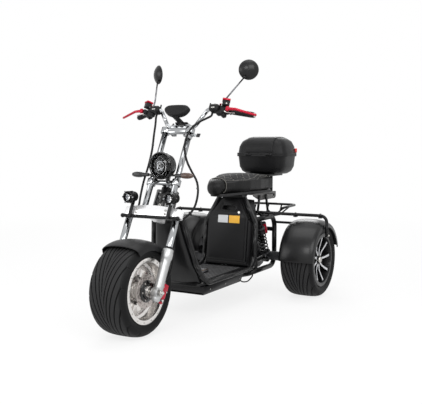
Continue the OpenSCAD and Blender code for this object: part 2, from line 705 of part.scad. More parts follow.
function shield_at(row, x, w) = [front_x - row[1] + x, w, row[0]];
function shield_ring(row) = let (w = panel_y - row[3]) [for (a = [-90 : 15 : 90])
    shield_at(row, (row[1] - row[2]) * pow(cos(a), 0.5), w * sin(a))];
function recess_ring(row) = let (w = panel_y - row[3] - shield_lip) [shield_at(row, -1, -w),
    shield_at(row, shield_lip, -w + shield_lip), shield_at(row, shield_lip, w - shield_lip),
    shield_at(row, -1, w)];

// Moulded shield, hollowed on the rider's side inside a raised lip
module leg_shield() color("#202123") difference() {
    loft([for (row = shield) shield_ring(row)]);
    loft([for (i = [1 : len(shield) - 2]) recess_ring(shield[i])]);
    spine(spine_r + seat);
}

belly_y = 156;
belly_wall = 4;
floor_t = 17;
floor_front = front_x - 421.5;
floor_rear = rear_x + 244;
belly_top = band_z - band_r - seat;

module belly_pan() color("#1d1e20") difference() {
    rotate([90, 0, 90]) translate([0, 0, belly_rear]) linear_extrude(belly_front + 30 - belly_rear)
        polygon([[-belly_y, belly_z], [belly_y, belly_z], [band_y, belly_top], [-band_y, belly_top]]);
    rotate([90, 0, 90]) translate([0, 0, belly_rear - 1]) linear_extrude(belly_front + 8 - belly_rear)
        polygon([[-belly_y + belly_wall, belly_z + belly_wall], [belly_y - belly_wall, belly_z + belly_wall],
            [band_y - belly_wall, belly_top + 1], [-band_y + belly_wall, belly_top + 1]]);
    translate([belly_front, -300, belly_z]) rotate([0, 30, 0]) translate([0, 0, -100]) cube([100, 600, 300]);
    translate([belly_rear, -300, floor_z - floor_t - seat]) cube([1000, 600, 100]);
}

module footboard() color("#232426") difference() {
    translate([0, 0, floor_z - floor_t]) linear_extrude(floor_t) polygon(concat(
        arc([floor_front - 40, board_y - 40], 40, 0, 90, 6), [[floor_rear, board_y], [floor_rear, -board_y]],
        arc([floor_front - 40, -board_y + 40], 40, 270, 360, 6)));
    spine(spine_r + seat);
    edge_bands_room();
}

module edge_bands_room() both_sides() translate([rear_x + 200, panel_y - 4, 0]) cube([120, 40, 400]);

mat_t = 5;
mat_rib_t = 3;
mat_ribs = 13;
mat_pitch = 20;
mat_x0 = rear_x + 362;
mat_x1 = floor_front - 100;
mat_y = 140;

module floor_mat() color("#2a2b2d") translate([mat_x0, 0, floor_z]) {
    translate([0, -mat_y, 0]) cube([mat_x1 - mat_x0, 2 * mat_y, mat_t]);
    for (i = [0 : mat_ribs - 1]) translate([12, (i - (mat_ribs - 1) / 2) * mat_pitch - 5, 0])
        cube([mat_x1 - mat_x0 - 24, 10, mat_t + mat_rib_t]);
}

// Finger latch on the floor: a wedge with a bent lip
module floor_latch() color("#8a6a3c") translate([floor_front - 320, 30, floor_z + mat_t + mat_rib_t])
    rotate([90, 0, 0])
    linear_extrude(50) polygon([[0, 0], [76, 0], [76, 3], [22, 12], [8, 18], [4, 18], [4, 6], [0, 3]]);

// Battery housing, modelled upright about its foot and then leaned back

box_bottom = floor_z + seat;

module box_frame() translate([box_x, 0, box_bottom]) rotate([0, -box_lean, 0]) rotate([90, 0, 90]) children();

// Upright outline with sloping shoulders: half width, foot, shoulder's height, half width of the top, top
module coffin(w, h0, shoulder, top_w, h) polygon([[-w, h0], [w, h0], [w, shoulder], [top_w, h], [-top_w, h],
    [-w, shoulder]]);

// Cuts the front away above the shoulders, sloping back to the seat
module brow(depth) rotate([0, -90, 0]) linear_extrude(600, center = true)
    polygon([[depth, box_h - 114], [depth - 35, box_h + 4], [depth - 35, box_h + 90],
        [depth + 90, box_h + 90],
        [depth + 90, box_h - 114]]);

plate_w = panel_y - 4;
pack_w = 138;
pack_foot = 26;
pack_body_w = 104;
pack_depth = 150;
pack_face = 78;
recess = 40;
plate_face = 66;
shoulder = box_h - 176;
brow_w = 66;

module battery_housing() color("#1f2022") box_frame() difference() {
    union() {
        hull() {
            linear_extrude(36) coffin(plate_w, 0, shoulder, brow_w + 6, box_h - 2);
            linear_extrude(plate_face) coffin(pack_w + 8, 2, shoulder + 20, brow_w + 4, box_h - 4);
        }
        translate([0, 0, -pack_depth]) linear_extrude(pack_depth + 2)
            coffin(pack_body_w + 7, pack_foot - 2, shoulder, brow_w + 4, box_h - 6);
    }
    brow(plate_face);
    translate([0, 0, recess]) linear_extrude(60)
        coffin(pack_w + 1, pack_foot, shoulder + 46, brow_w - 1, box_h - 14);
    translate([0, 0, 6 - pack_depth]) linear_extrude(200)
        coffin(pack_body_w + 1, pack_foot + 4, shoulder + 46, brow_w - 1, box_h - 14);
}

// Lift-out pack: a framed cover with a hand slot and a lock, and the cells' block behind it
module battery_pack() color("#26272a") box_frame() difference() {
    union() {
        difference() {
            union() {
                translate([0, 0, recess + seat]) linear_extrude(pack_face - recess - 4)
                    coffin(pack_w, pack_foot + seat, shoulder + 46, brow_w - 2, box_h - 15);
                translate([0, 0, recess + 1]) linear_extrude(pack_face - recess - 1) 
                    coffin(pack_w - 14, pack_foot + 14, shoulder + 42, brow_w - 12, box_h - 26);
            }
            brow(pack_face);
        }
        translate([0, 0, 6 + seat - pack_depth]) linear_extrude(pack_depth + recess)
            coffin(pack_body_w, pack_foot + 4 + seat, shoulder + 46, brow_w - 2, box_h - 16);
        translate([78, box_h - 98, recess]) cylinder(h = pack_face - recess - 2, r = 9);
    }
    translate([0, box_h - 70, 30]) linear_extrude(80) {
        square([64, 28], center = true);
        for (x = [-32, 32]) translate([x, 0]) circle(14);
    }
}

// Seat

seat_front = rear_x + 513.5;
nose_l = 80;
seam_x = seat_front - nose_l;
seat_rear = rear_x - 130;

module seat_pan() color("#4a4b4d") translate([0, 0, seat_z]) linear_extrude(16) hull() {
    translate([seam_x - 29, 0]) circle(56);
    both_sides() translate([seat_rear + 40, seat_y - 46]) circle(30);
}

module seat_nose() color("#18191a") loft([
    cross_ring(seam_x + 1, 60, seat_z + 16.3, seat_z + 110, 0.8),
    cross_ring(seam_x + 28, 59, seat_z + 16.3, seat_z + 108, 0.85),
    cross_ring(seam_x + 36, 57, seat_z + 3, seat_z + 105, 0.9),
    cross_ring(seam_x + 52, 50, seat_z + 5, seat_z + 100, 0.95),
    cross_ring(seam_x + 66, 38, seat_z + 14, seat_z + 91, 1),
    cross_ring(seat_front, 14, seat_z + 38, seat_z + 68, 1)]);

module seat_cushion() color("#18191a") loft([
    cross_ring(seat_rear, seat_y - 26, seat_z + 20, seat_z + 92, 0.7),
    cross_ring(seat_rear + 24, seat_y - 6, seat_z + 16.3, seat_z + 110, 0.6),
    cross_ring(seat_rear + 200, seat_y, seat_z + 16.3, seat_z + 128, 0.6),
    cross_ring(seat_rear + 330, seat_y - 12, seat_z + 16.3, seat_z + 132, 0.65),
    cross_ring(seam_x - 140, 104, seat_z + 16.3, seat_z + 131, 0.7),
    cross_ring(seam_x - 60, 80, seat_z + 16.3, seat_z + 124, 0.78),
    cross_ring(seam_x, 64, seat_z + 16.3, seat_z + 114, 0.8)]);

bracket_y = strut_y - strut_r - seat;
bracket_t = 6;
bracket_low = seat_z - 48;
bracket_rear = seat_rear - 66;

// Channel under the seat's rear, open below, with a lock ring behind
module seat_bracket() color("#6b6660") difference() {
    union() {
        both_sides() translate([0, bracket_y, 0]) rotate([90, 0, 0]) linear_extrude(bracket_t) polygon([
            [bracket_rear, seat_z - seat], [bracket_rear, bracket_low + 12], [bracket_rear + 16, bracket_low],
            [seat_rear + 190, bracket_low], [seat_rear + 284, seat_z - 14],
            [seat_rear + 284, seat_z - seat]]);
        translate([bracket_rear, -bracket_y, seat_z - 5 - seat])
            cube([seat_rear + 284 - bracket_rear, 2 * bracket_y, 5]);
        translate([bracket_rear, -bracket_y, bracket_low + 12])
            cube([bracket_t, 2 * bracket_y, seat_z - bracket_low - 14]);
    }
    translate([bracket_rear + 36, 0, seat_z - 26]) across(-200, 200, 11);
}

// Rear axle, swing arm and shock absorbers

axle_tube_r = 30;
shock_eye_r = 12;
shock_foot = [rear_x + 70, loop_y, 233];
shock_head = [rear_x + 175, loop_y, loop_top - rail_r - shock_eye_r - seat];
shock_dir = unit(shock_head - shock_foot);
spring_r = 25;
spring_turns = 7;
wire_r = 4.5;

module rear_axle() color("#3a3c3f") translate([rear_x, 0, tyre_r]) {
    across(-wheel_y + 24, wheel_y - 24, axle_tube_r);
    across(-wheel_y - axle_end, wheel_y + axle_end, axle_r);
    across(-78, 78, 84);
    across(-92, 92, 70);
    both_sides() across(wheel_y - 62, wheel_y - 28, 78);
}

module swing_arm() color("#1a1b1d") both_sides() difference() {
    union() {
        bar([pivot_x, arm_y, pivot_z], [rear_x, arm_y, tyre_r], 16);
        translate([pivot_x, 0, pivot_z]) across(arm_y - 20, arm_y + 20, 20);
        translate([rear_x, 0, tyre_r]) across(arm_y - 20, arm_y + 12, axle_tube_r + 14);
    }
    translate([rear_x, 0, tyre_r]) across(60, 180, axle_tube_r + seat);
    translate([pivot_x, 0, pivot_z]) across(60, 180, pivot_r + seat);
}

module spring(length) rotate_extrude() {
    translate([spring_r - 11, 0]) square([8, length]);
    for (i = [0 : spring_turns]) translate([spring_r, length * i / spring_turns]) circle(wire_r);
}

// Coil-over dampers with an eye at each end and a reservoir behind
module rear_shocks() color("#1b1c1e") both_sides() {
    length = norm(shock_head - shock_foot);
    translate(shock_foot) across(-13, 13, shock_eye_r);
    translate(shock_head) across(-13, 13, shock_eye_r);
    translate(shock_foot) rotate([0, atan2(shock_dir[0], shock_dir[2]), 0]) {
        cylinder(h = length, r = 9);
        translate([0, 0, 40]) cylinder(h = length * 0.45, r = 15);
        translate([0, 0, 36]) cylinder(h = 8, r = spring_r + 6);
        translate([0, 0, length - 46]) cylinder(h = 8, r = spring_r + 6);
        translate([0, 0, 42]) spring(length - 86);
        translate([-spring_r - 30, 0, length - 96]) cylinder(h = 74, r = 15);
        translate([-spring_r - 30, -8, length - 45]) cube([spring_r + 26, 16, 14]);
    }
}

guard_w = 118;
guard_out = 6;

guard_lip = tyre_r - 26;
guard_from = 3;
guard_to = 164;

guard_wall = 80;

// Round shell with a deep inner wall and a rolled bead along both of its edges
module rear_mudguard(side) translate([rear_x, side * (wheel_y + guard_out), tyre_r])
    mirror([0, side > 0 ? 0 : 1, 0]) {
    guard_shell(guard_w, guard_lip, guard_from, guard_to, guard_wall);
    rotate([0, -guard_from, 0]) rotate([90, 0, 0]) rotate_extrude(angle = guard_to - guard_from, $fn = 120) {
        translate([guard_lip + 1, 3 - guard_w]) circle(3);
        translate([guard_lip - guard_wall + 1, guard_w + puff - 1.5]) circle(3);
    }
}

module rear_mudguard_left() color("#232426") rear_mudguard(1);
module rear_mudguard_right() color("#232426") rear_mudguard(-1);

hoop_x = rear_x + 35;
hoop_y = wheel_y + guard_out + guard_w + hoop_r + seat;
hoop_leg = 134;

module mudguard_rail() color("#141516") bent_tube([[hoop_x, -hoop_y, rail_z - hoop_leg],
    [hoop_x, -hoop_y, rail_z],
    [hoop_x, hoop_y, rail_z], [hoop_x, hoop_y, rail_z - hoop_leg]], hoop_r, 42);

// Luggage basket and top case

basket_r = 8;
basket_top = rail_z + 28;
basket_drop = 4;
basket_low = loop_top - basket_drop;
basket_in = loop_y - rail_r - basket_r + 1 - seat;
basket_mouth = loop_x + 24;
basket_rear = rear_x - basket_back;
basket_step = 40;

// Two rails with uprights between them and slats across the floor; the lower rail lies inside the
// frame's loops
module luggage_basket() color("#141516") {
    bent_tube([[basket_mouth, -basket_y - 20, basket_top], [basket_rear, -basket_y, basket_top],
        [basket_rear, basket_y, basket_top], [basket_mouth, basket_y + 20, basket_top]], basket_r, 40);
    bent_tube([[rear_x + 40, -basket_in, basket_low], [basket_rear + basket_step, -basket_in, basket_low],
        [basket_rear + basket_step, basket_in, basket_low], [rear_x + 40, basket_in, basket_low]],
        basket_r - 1, 40);
    translate([loop_x - basket_step, 0, basket_low]) across(-basket_in, basket_in, basket_r - 2);
    for (y = [-100, 0, 100]) {
        bar([basket_rear, y, basket_top], [basket_rear + basket_step, y, basket_low], basket_r - 3);
        bar([loop_x - basket_step, y, basket_low], [basket_rear + basket_step, y, basket_low], basket_r - 3);
    }
    both_sides() for (x = [60, 170]) bar([basket_mouth - x, basket_y + 20 - x * 0.07, basket_top],
        [basket_mouth - x, basket_in, basket_low], basket_r - 3);
}

case_x = rear_x - case_back + case_l / 2;

carrier_t = 14;
post_r = 11;
carrier_reach = 84;
post_x = bracket_rear - post_r - seat;

// Plate under the case on two posts that stand against the seat bracket's rear
module case_carrier() color("#18191a") {
    translate([case_x - 70, -90, case_z - carrier_t - seat])
        cube([post_x + carrier_reach - case_x + 70, 180, carrier_t]);
    both_sides() bar([post_x, 70, bracket_low + 16], [post_x, 70, case_z - carrier_t + 2], post_r);
    translate([post_x, 0, bracket_low + 40]) across(-70, 70, post_r - 4);
}

seam_z = case_z + case_base_h;
case_a = case_l / 2 - 8;
case_b = case_w / 2 - 8;

lip = 8;
rim_e = 0.42;
hinge_x = case_x + case_a + 14;
hinge_r = 5;
hinge_y = 78;
knuckle = 12;

// Levels of the case's outside and inside: [height from the seam, inset of the length, inset of
// the width, roundness]
base_outside = [[-case_base_h, 44, 48, 0.5], [-case_base_h + 16, 20, 24, 0.45],
    [-case_base_h + 50, 6, 8, rim_e], [-12, 0, 0, rim_e]];
lid_outside = [[12, 0, 0, rim_e], [case_lid_h * 0.45, 6, 6, rim_e], [case_lid_h * 0.75, 22, 22, 0.45],
    [case_lid_h * 0.94, 52, 54, 0.5], [case_lid_h, 90, 92, 0.55]];

function case_rings(rows, wall, up) = [for (r = rows)
    flat_ring(seam_z + r[0] + up, case_x, case_a - r[1] - wall, case_b - r[2] - wall, r[3])];
function seam_rings(z0, z1, grow) = [for (z = [z0, z1])
    flat_ring(seam_z + z, case_x, case_a + grow, case_b + grow, rim_e)];

// Hinge on the rider's side: an outer pair of knuckles and a middle one, about a common pin
module knuckles(y0, y1, z0) both_sides() {
    translate([hinge_x, 0, seam_z]) across(hinge_y + y0, hinge_y + y1, hinge_r);
    translate([hinge_x - 12, hinge_y + y0, seam_z + z0]) cube([12, y1 - y0, 8]);
}
module knuckle_room(y0, y1) both_sides() translate([hinge_x, 0, seam_z])
    across(hinge_y + y0 - seat, hinge_y + y1 + seat, hinge_r + free / 6);

module case_base() color("#222326") difference() {
    union() {
        loft(case_rings(base_outside, 0, 0));
        loft(seam_rings(-14, 0, lip));
        knuckles(-1.5 * knuckle - seat, -0.5 * knuckle - seat, -10);
        knuckles(0.5 * knuckle + seat, 1.5 * knuckle + seat, -10);
    }
    loft(concat(case_rings(base_outside, case_wall, case_wall), seam_rings(-7, 1, -case_wall)));
    knuckle_room(-0.5 * knuckle, 0.5 * knuckle);
}

// Lid with a broad raised panel over its middle
module case_lid() color("#222326") difference() {
    union() {
        loft(concat(seam_rings(run, 11, lip), case_rings(lid_outside, 0, 0)));
        intersection() {
            loft(case_rings(lid_outside, -5, 3));
            translate([case_x - 250, -104, seam_z + 16]) cube([500, 208, case_lid_h]);
        }
        knuckles(-0.5 * knuckle, 0.5 * knuckle, 2);
    }
    loft(concat(seam_rings(-1, 7, -case_wall), case_rings(lid_outside, case_wall, -case_wall)));
    knuckle_room(-1.5 * knuckle - seat, -0.5 * knuckle - seat);
    knuckle_room(0.5 * knuckle + seat, 1.5 * knuckle + seat);
}

tail_w = 62;

// Lamp behind the basket's rear rail
module tail_lamp() color("#a3161a") translate([basket_rear - basket_r - seat, 0, basket_top - 20])
    rotate([0, -90, 0])
    linear_extrude(26) polygon(concat(arc([24, tail_w - 12], 12, 0, 90, 4),
        arc([8, tail_w - 12], 12, 90, 180, 4),
        arc([8, -tail_w + 12], 12, 180, 270, 4), arc([24, -tail_w + 12], 12, 270, 360, 4)));

module floor_cable() color("#131314") cord([[rear_x + 268, 165, loop_z - rail_r - 3],
    [rear_x + 286, 163, 136],
    [rear_x + 330, 158, 120], [rear_x + 390, 152, 128], [rear_x + 419, 148, 150]], 4, 4);

frame();
neck_cover();
leg_shield();
belly_pan();
edge_bands();
footboard();
floor_mat();
floor_latch();
battery_housing();
battery_pack();
seat_pan();
seat_nose();
seat_cushion();
seat_bracket();
swing_arm();
rear_axle();
rear_shocks();
rear_mudguard_left();
rear_mudguard_right();
mudguard_rail();
luggage_basket();
case_carrier();
case_base();
tail_lamp();
floor_cable();
lower_clamp();
upper_clamps();
fork_tubes();
fork_sliders();
front_axle();
front_mudguard();
front_caliper();
fork_bar();
handlebar();
grips();
bar_controls();
brake_levers();
display();
headlamp();
lamp_lenses();
turn_signals();
spot_lamps();
mirrors();
mirror_stems();
steering_cables();
front_tyre();
front_rim();
front_disc();
rear_left_tyre();
rear_left_rim();
rear_right_tyre();
rear_right_rim();
case_lid();
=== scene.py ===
"""Looks of a three-wheeled electric scooter, built as an add-on around its fixed CAD frame."""

import math

import bmesh
import bpy
from mathutils import Matrix, Vector
from mathutils.bvhtree import BVHTree


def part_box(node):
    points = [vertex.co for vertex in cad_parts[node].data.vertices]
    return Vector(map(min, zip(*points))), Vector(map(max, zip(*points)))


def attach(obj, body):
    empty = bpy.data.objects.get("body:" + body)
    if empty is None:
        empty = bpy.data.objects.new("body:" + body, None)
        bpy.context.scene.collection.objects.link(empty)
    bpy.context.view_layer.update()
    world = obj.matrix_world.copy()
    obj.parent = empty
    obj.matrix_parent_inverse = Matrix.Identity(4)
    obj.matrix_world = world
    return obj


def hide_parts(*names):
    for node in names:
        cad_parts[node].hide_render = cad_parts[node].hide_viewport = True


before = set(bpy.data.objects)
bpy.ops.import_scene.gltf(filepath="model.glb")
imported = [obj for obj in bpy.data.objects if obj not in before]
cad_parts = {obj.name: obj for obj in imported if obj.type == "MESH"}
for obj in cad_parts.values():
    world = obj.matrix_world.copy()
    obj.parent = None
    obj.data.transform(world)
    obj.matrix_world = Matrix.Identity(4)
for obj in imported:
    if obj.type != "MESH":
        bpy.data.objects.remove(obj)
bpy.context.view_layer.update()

bl_info = {
    "name": "Three-wheeled scooter looks",
    "version": (1, 0, 0),
    "blender": (4, 5, 0),
    "location": "View3D > Sidebar > Scooter",
    "description": "Dresses the scooter's CAD frame with tyres, trim, seat, lamps and finishes",
    "category": "Object",
}

# Pieces are drawn in millimetres, and their meshes are scaled to metres when they are finished.
MM = 0.001
AHEAD, LEFT, UP = Vector((1, 0, 0)), Vector((0, 1, 0)), Vector((0, 0, 1))


def moved(x, y, z):
    """Matrix that moves by x, y and z."""
    return Matrix.Translation((x, y, z))


def spun(angle, axis):
    """Matrix that turns by an angle about an axis."""
    return Matrix.Rotation(angle, 4, axis)


def sided(side):
    """Matrix that mirrors left to right where side is -1."""
    return Matrix.Scale(side, 4, LEFT)


# Places that the CAD frame fixes
RAKE = math.radians(27.2)
FRONT_AXLE = Vector((761.5, 0, 238.5))
REAR_X, WHEEL_Y = -574.5, 434.0
TYRE_R, TYRE_W, FLANGE_R, RIM_W = 238.5, 215.0, 170.0, 197.6
BEAD_R = FLANGE_R - 17
LEG_X, LEG_Y, UPPER_X, UPPER_Y = -12.5, 150.0, -26.5, 80.0
FORK = Matrix.Translation(FRONT_AXLE) @ spun(-RAKE, "Y")
BAR_TIP = Vector((-143, 385, 1086))
GRIP_AXIS = Vector((-82, 137, 13)).normalized()
LAMP_AT = FRONT_AXLE + Vector((-270.5, 0, 625.5))
SPOT_AT = FRONT_AXLE + Vector((-153.5, 132, 459.5))
MIRROR_AT = FORK @ Vector((-102, 309, 1357))
SHOCK_FOOT, SHOCK_HEAD = Vector((-504.5, 165, 233)), Vector((-399.5, 165, 471.4))
SEAT_Z, SEAM_X, SEAT_REAR = 656.0, -141.0, -704.5
MAT_Z = 211.2
CASE_X, CASE_A, SEAM_Z = -859.0, 133.0, 906.0
BOX_FOOT, BOX_H, BOX_LEAN = Vector((-318.5, 0, 205.3)), 432.0, math.radians(7)
BOX = (Matrix.Translation(BOX_FOOT) @ spun(-BOX_LEAN, "Y")
       @ spun(math.pi / 2, "Z") @ spun(math.pi / 2, "X"))


def wheel_matrix(x, y):
    """Frame of a wheel: its Z is the axle, pointing left."""
    return moved(x, y, TYRE_R) @ spun(-math.pi / 2, "X")


def grip_matrix(along, side):
    """Frame on a grip's axis: Z runs outward, -X is up and -Y is ahead."""
    place = BAR_TIP + GRIP_AXIS * along
    turn = spun(math.atan2(GRIP_AXIS.y, GRIP_AXIS.x), "Z") @ spun(math.acos(GRIP_AXIS.z), "Y")
    return FORK @ sided(side) @ Matrix.Translation(place) @ turn


def ring(count, radius, height, first=0.0):
    """Matrices of places evenly round Z; first is the share of a step at which they start."""
    return [spun(math.tau * (i + first) / count, "Z") @ moved(radius, 0, height) for i in range(count)]


def facing(place, direction):
    """Frame at a place whose Z points along a direction."""
    return Matrix.Translation(place) @ Vector(direction).to_track_quat("Z", "Y").to_matrix().to_4x4()


# Settings


class FinishSettings(bpy.types.PropertyGroup):
    """Colours of the scooter's finishes."""

    panel: bpy.props.FloatVectorProperty(
        name="Panels", description="Satin black of the moulded panels", subtype="COLOR",
        default=(0.0065, 0.0065, 0.007))
    coat: bpy.props.FloatVectorProperty(
        name="Powder coat", description="Black of the frame, rails and basket", subtype="COLOR",
        default=(0.0042, 0.0042, 0.0046))
    rubber: bpy.props.FloatVectorProperty(
        name="Rubber", description="Grey-black of tyres, mat and grips", subtype="COLOR",
        default=(0.0085, 0.0085, 0.009))
    leather: bpy.props.FloatVectorProperty(
        name="Seat cover", description="Black of the seat's cover", subtype="COLOR",
        default=(0.0048, 0.0048, 0.005))
    accent: bpy.props.FloatVectorProperty(
        name="Red parts", description="Red of the levers, caps and caliper", subtype="COLOR",
        default=(0.40, 0.007, 0.026))
    thread: bpy.props.FloatVectorProperty(
        name="Thread", description="Pale thread of the seat's stitching", subtype="COLOR",
        default=(0.42, 0.40, 0.36))


class TyreSettings(bpy.types.PropertyGroup):
    """Tread of the three tyres."""

    grooves: bpy.props.IntProperty(
        name="Grooves", description="Long grooves round each half of a tyre", default=13, min=6, max=30)
    depth: bpy.props.FloatProperty(
        name="Groove depth", description="Depth of the tread's grooves", default=0.007, unit="LENGTH")
    steps: bpy.props.IntProperty(
        name="Steps", description="Steps round a tyre", default=390, min=96, max=800)


class SeatSettings(bpy.types.PropertyGroup):
    """Padding and stitching of the seat."""

    swell: bpy.props.FloatProperty(
        name="Swell", description="Furthest that the padding moves when it is filled",
        default=0.008, unit="LENGTH")
    pitch: bpy.props.FloatProperty(
        name="Quilting", description="Distance between the quilting's channels", default=0.058, unit="LENGTH")
    channel: bpy.props.FloatProperty(
        name="Channel depth", description="Depth of the sewn channels", default=0.0035, unit="LENGTH")


class StageSettings(bpy.types.PropertyGroup):
    """Camera and light."""

    camera_at: bpy.props.FloatVectorProperty(
        name="Camera", description="Place of the camera", subtype="XYZ", unit="LENGTH",
        default=(3.6249, 2.0969, 0.9899))
    turn: bpy.props.FloatProperty(
        name="Turn", description="Angle of the view from straight ahead", subtype="ANGLE",
        default=math.radians(29.634))
    pitch: bpy.props.FloatProperty(
        name="Pitch", description="Angle of the view above the horizon", subtype="ANGLE",
        default=math.radians(4.893))
    lens: bpy.props.FloatProperty(
        name="Lens", description="Focal length on a 36 mm sensor", subtype="DISTANCE_CAMERA", default=59.51)
    key: bpy.props.FloatProperty(
        name="Key light", description="Power of the large light on the left", subtype="POWER", default=90.0)


# Shaders


class Graph:
    """Adds and links the nodes of one node tree."""

    def __init__(self, tree):
        self.tree = tree

    def add(self, kind, links=(), **values):
        made = self.tree.nodes.new(kind)
        for key, value in values.items():
            setattr(made, key, value)
        for socket, value in dict(links).items():
            target = made.inputs[socket]
            if isinstance(value, bpy.types.NodeSocket):
                self.tree.links.new(value, target)
            else:
                target.default_value = value
        return made

    def noise(self, place, scale, detail):
        links = {"Vector": place, "Scale": scale, "Detail": detail}
        return self.add("ShaderNodeTexNoise", links).outputs

    def place(self, kind="Object"):
        """Where a point lies, or how it faces, in its object's own frame."""
        return self.add("ShaderNodeTexCoord").outputs[kind]

    def in_scene(self, kind="Normal"):
        """How a point faces, or where it lies, in the scene."""
        return self.add("ShaderNodeNewGeometry").outputs[kind]

    def axes(self, vector):
        return self.add("ShaderNodeSeparateXYZ", {0: vector}).outputs

    def math(self, operation, a, b=0.0, clamp=False):
        return self.add("ShaderNodeMath", {0: a, 1: b}, operation=operation, use_clamp=clamp).outputs[0]

    def remap(self, value, low, high, to_low=0.0, to_high=1.0):
        links = {"Value": value, "From Min": low, "From Max": high, "To Min": to_low, "To Max": to_high}
        return self.add("ShaderNodeMapRange", links, interpolation_type="SMOOTHSTEP").outputs["Result"]

    def mix(self, factor, a, b):
        return self.add("ShaderNodeMix", {0: factor, 6: a, 7: b}, data_type="RGBA").outputs[2]


def node_group(name, inputs, outputs, build):
    """A shader group with named sockets; build(graph, inputs) gives the outputs by name."""
    tree = bpy.data.node_groups.new(name, "ShaderNodeTree")
    for label, kind, value in inputs:
        socket = tree.interface.new_socket(label, in_out="INPUT", socket_type=kind)
        socket.default_value = value
    for label, kind in outputs:
        tree.interface.new_socket(label, in_out="OUTPUT", socket_type=kind)
    graph = Graph(tree)
    results = build(graph, tree.nodes.new("NodeGroupInput").outputs)
    end = tree.nodes.new("NodeGroupOutput")
    for label, _ in outputs:
        tree.links.new(results[label], end.inputs[label])
    return tree


COLOUR, VALUE = "NodeSocketColor", "NodeSocketFloat"
# Noise cells in a metre: of the broad drift of colour, and of the specks in polish and dust
DRIFT_SCALE, SPECK_SCALE = 7.0, 90.0
DUST = (0.30, 0.29, 0.27, 1)
# Colours that the masks lay over a finish; the masked black on the right-hand turn signal is painted shade
MASKED_BLACK = (0.012, 0.012, 0.013, 1)
# Paler grey laid over the tyres' treads, while their walls keep the darker rubber
TREAD_GREY = (0.022, 0.022, 0.0225, 1)
RIB_GREY = (0.085, 0.085, 0.087, 1)
BARE_METAL = (0.66, 0.67, 0.69, 1)


def surface_group():
    """Fine grain, broad colour drift and dust that settles on what faces up."""
    def build(g, given):
        place = g.place()
        grain = g.noise(place, given["Grain scale"], 3.0)["Fac"]
        drift = g.noise(place, DRIFT_SCALE, 2.0)["Fac"]
        speck = g.noise(place, SPECK_SCALE, 4.0)["Fac"]
        level = g.math("MULTIPLY_ADD", g.math("SUBTRACT", drift, 0.5), given["Drift"])
        level.node.inputs[2].default_value = 1.0
        tone = g.add("ShaderNodeVectorMath", {0: given["Colour"], 3: level}, operation="SCALE").outputs[0]
        up = g.axes(g.in_scene())["Z"]
        settled = g.math("MULTIPLY", g.remap(up, 0.2, 1.0), g.remap(g.math("ADD", speck, drift), 0.75, 1.25))
        dust = g.math("MULTIPLY", settled, given["Dust"], clamp=True)
        rough = g.math("MULTIPLY_ADD", g.math("SUBTRACT", speck, 0.5), given["Polish drift"])
        g.tree.links.new(given["Roughness"], rough.node.inputs[2])
        rough = g.math("ADD", rough, g.math("MULTIPLY", dust, 0.3), clamp=True)
        return {"Colour": g.mix(dust, tone, DUST), "Roughness": rough, "Height": grain}
    return node_group("Surface", [
        ("Colour", COLOUR, (0.5, 0.5, 0.5, 1)), ("Drift", VALUE, 0.4), ("Roughness", VALUE, 0.5),
        ("Polish drift", VALUE, 0.15), ("Grain scale", VALUE, 900.0), ("Dust", VALUE, 0.05)],
        [("Colour", COLOUR), ("Roughness", VALUE), ("Height", VALUE)], build)


def leather_group():
    """Height of pebbled cells with creases between them."""
    def build(g, given):
        place = g.place()
        bend = {0: g.noise(place, 60.0, 2.0)["Color"], 1: (0.012, 0.012, 0.012), 2: place}
        bent = g.add("ShaderNodeVectorMath", bend, operation="MULTIPLY_ADD").outputs[0]
        links = {"Vector": bent, "Scale": given["Cells"]}
        cells = g.add("ShaderNodeTexVoronoi", links, feature="DISTANCE_TO_EDGE").outputs["Distance"]
        pebble = g.remap(cells, 0.0, 0.22)
        return {"Height": pebble}
    outputs = [("Height", VALUE)]
    return node_group("Leather grain", [("Cells", VALUE, 320.0)], outputs, build)


FINISHES = {}


def shader_of(material):
    return material.node_tree.nodes["Principled BSDF"]


def finish(name, colour, roughness, metallic=0.0, drift=0.4, polish=0.12, grain=900.0, bump=0.1, dust=0.01,
           coat=0.0, specular=0.5, edge=1.0):
    """A material with the shared surface group; later calls may dress it further."""
    made = bpy.data.materials.new(name)
    made.use_nodes = True
    graph = Graph(made.node_tree)
    shader = shader_of(made)
    group = graph.add("ShaderNodeGroup", node_tree=bpy.data.node_groups["Surface"])
    for socket, value in (("Colour", (*colour, 1)), ("Drift", drift), ("Roughness", roughness),
                          ("Polish drift", polish), ("Grain scale", grain), ("Dust", dust)):
        group.inputs[socket].default_value = value
    made.node_tree.links.new(group.outputs["Colour"], shader.inputs["Base Color"])
    made.node_tree.links.new(group.outputs["Roughness"], shader.inputs["Roughness"])
    links = {"Height": group.outputs["Height"], "Strength": bump, "Distance": 0.0006}
    relief = graph.add("ShaderNodeBump", links)
    made.node_tree.links.new(relief.outputs["Normal"], shader.inputs["Normal"])
    shader.inputs["Metallic"].default_value = metallic
    shader.inputs["Coat Weight"].default_value = coat
    shader.inputs["Coat Roughness"].default_value = 0.08
    shader.inputs["Specular IOR Level"].default_value = specular
    shader.inputs["Specular Tint"].default_value = (edge, edge, edge, 1)
    FINISHES[name] = made
    return made


def relink_colour(made, build):
    """Puts build(graph, colour) between a finish's surface group and its base colour."""
    shader = shader_of(made)
    colour = shader.inputs["Base Color"].links[0].from_socket
    made.node_tree.links.new(build(Graph(made.node_tree), colour), shader.inputs["Base Color"])


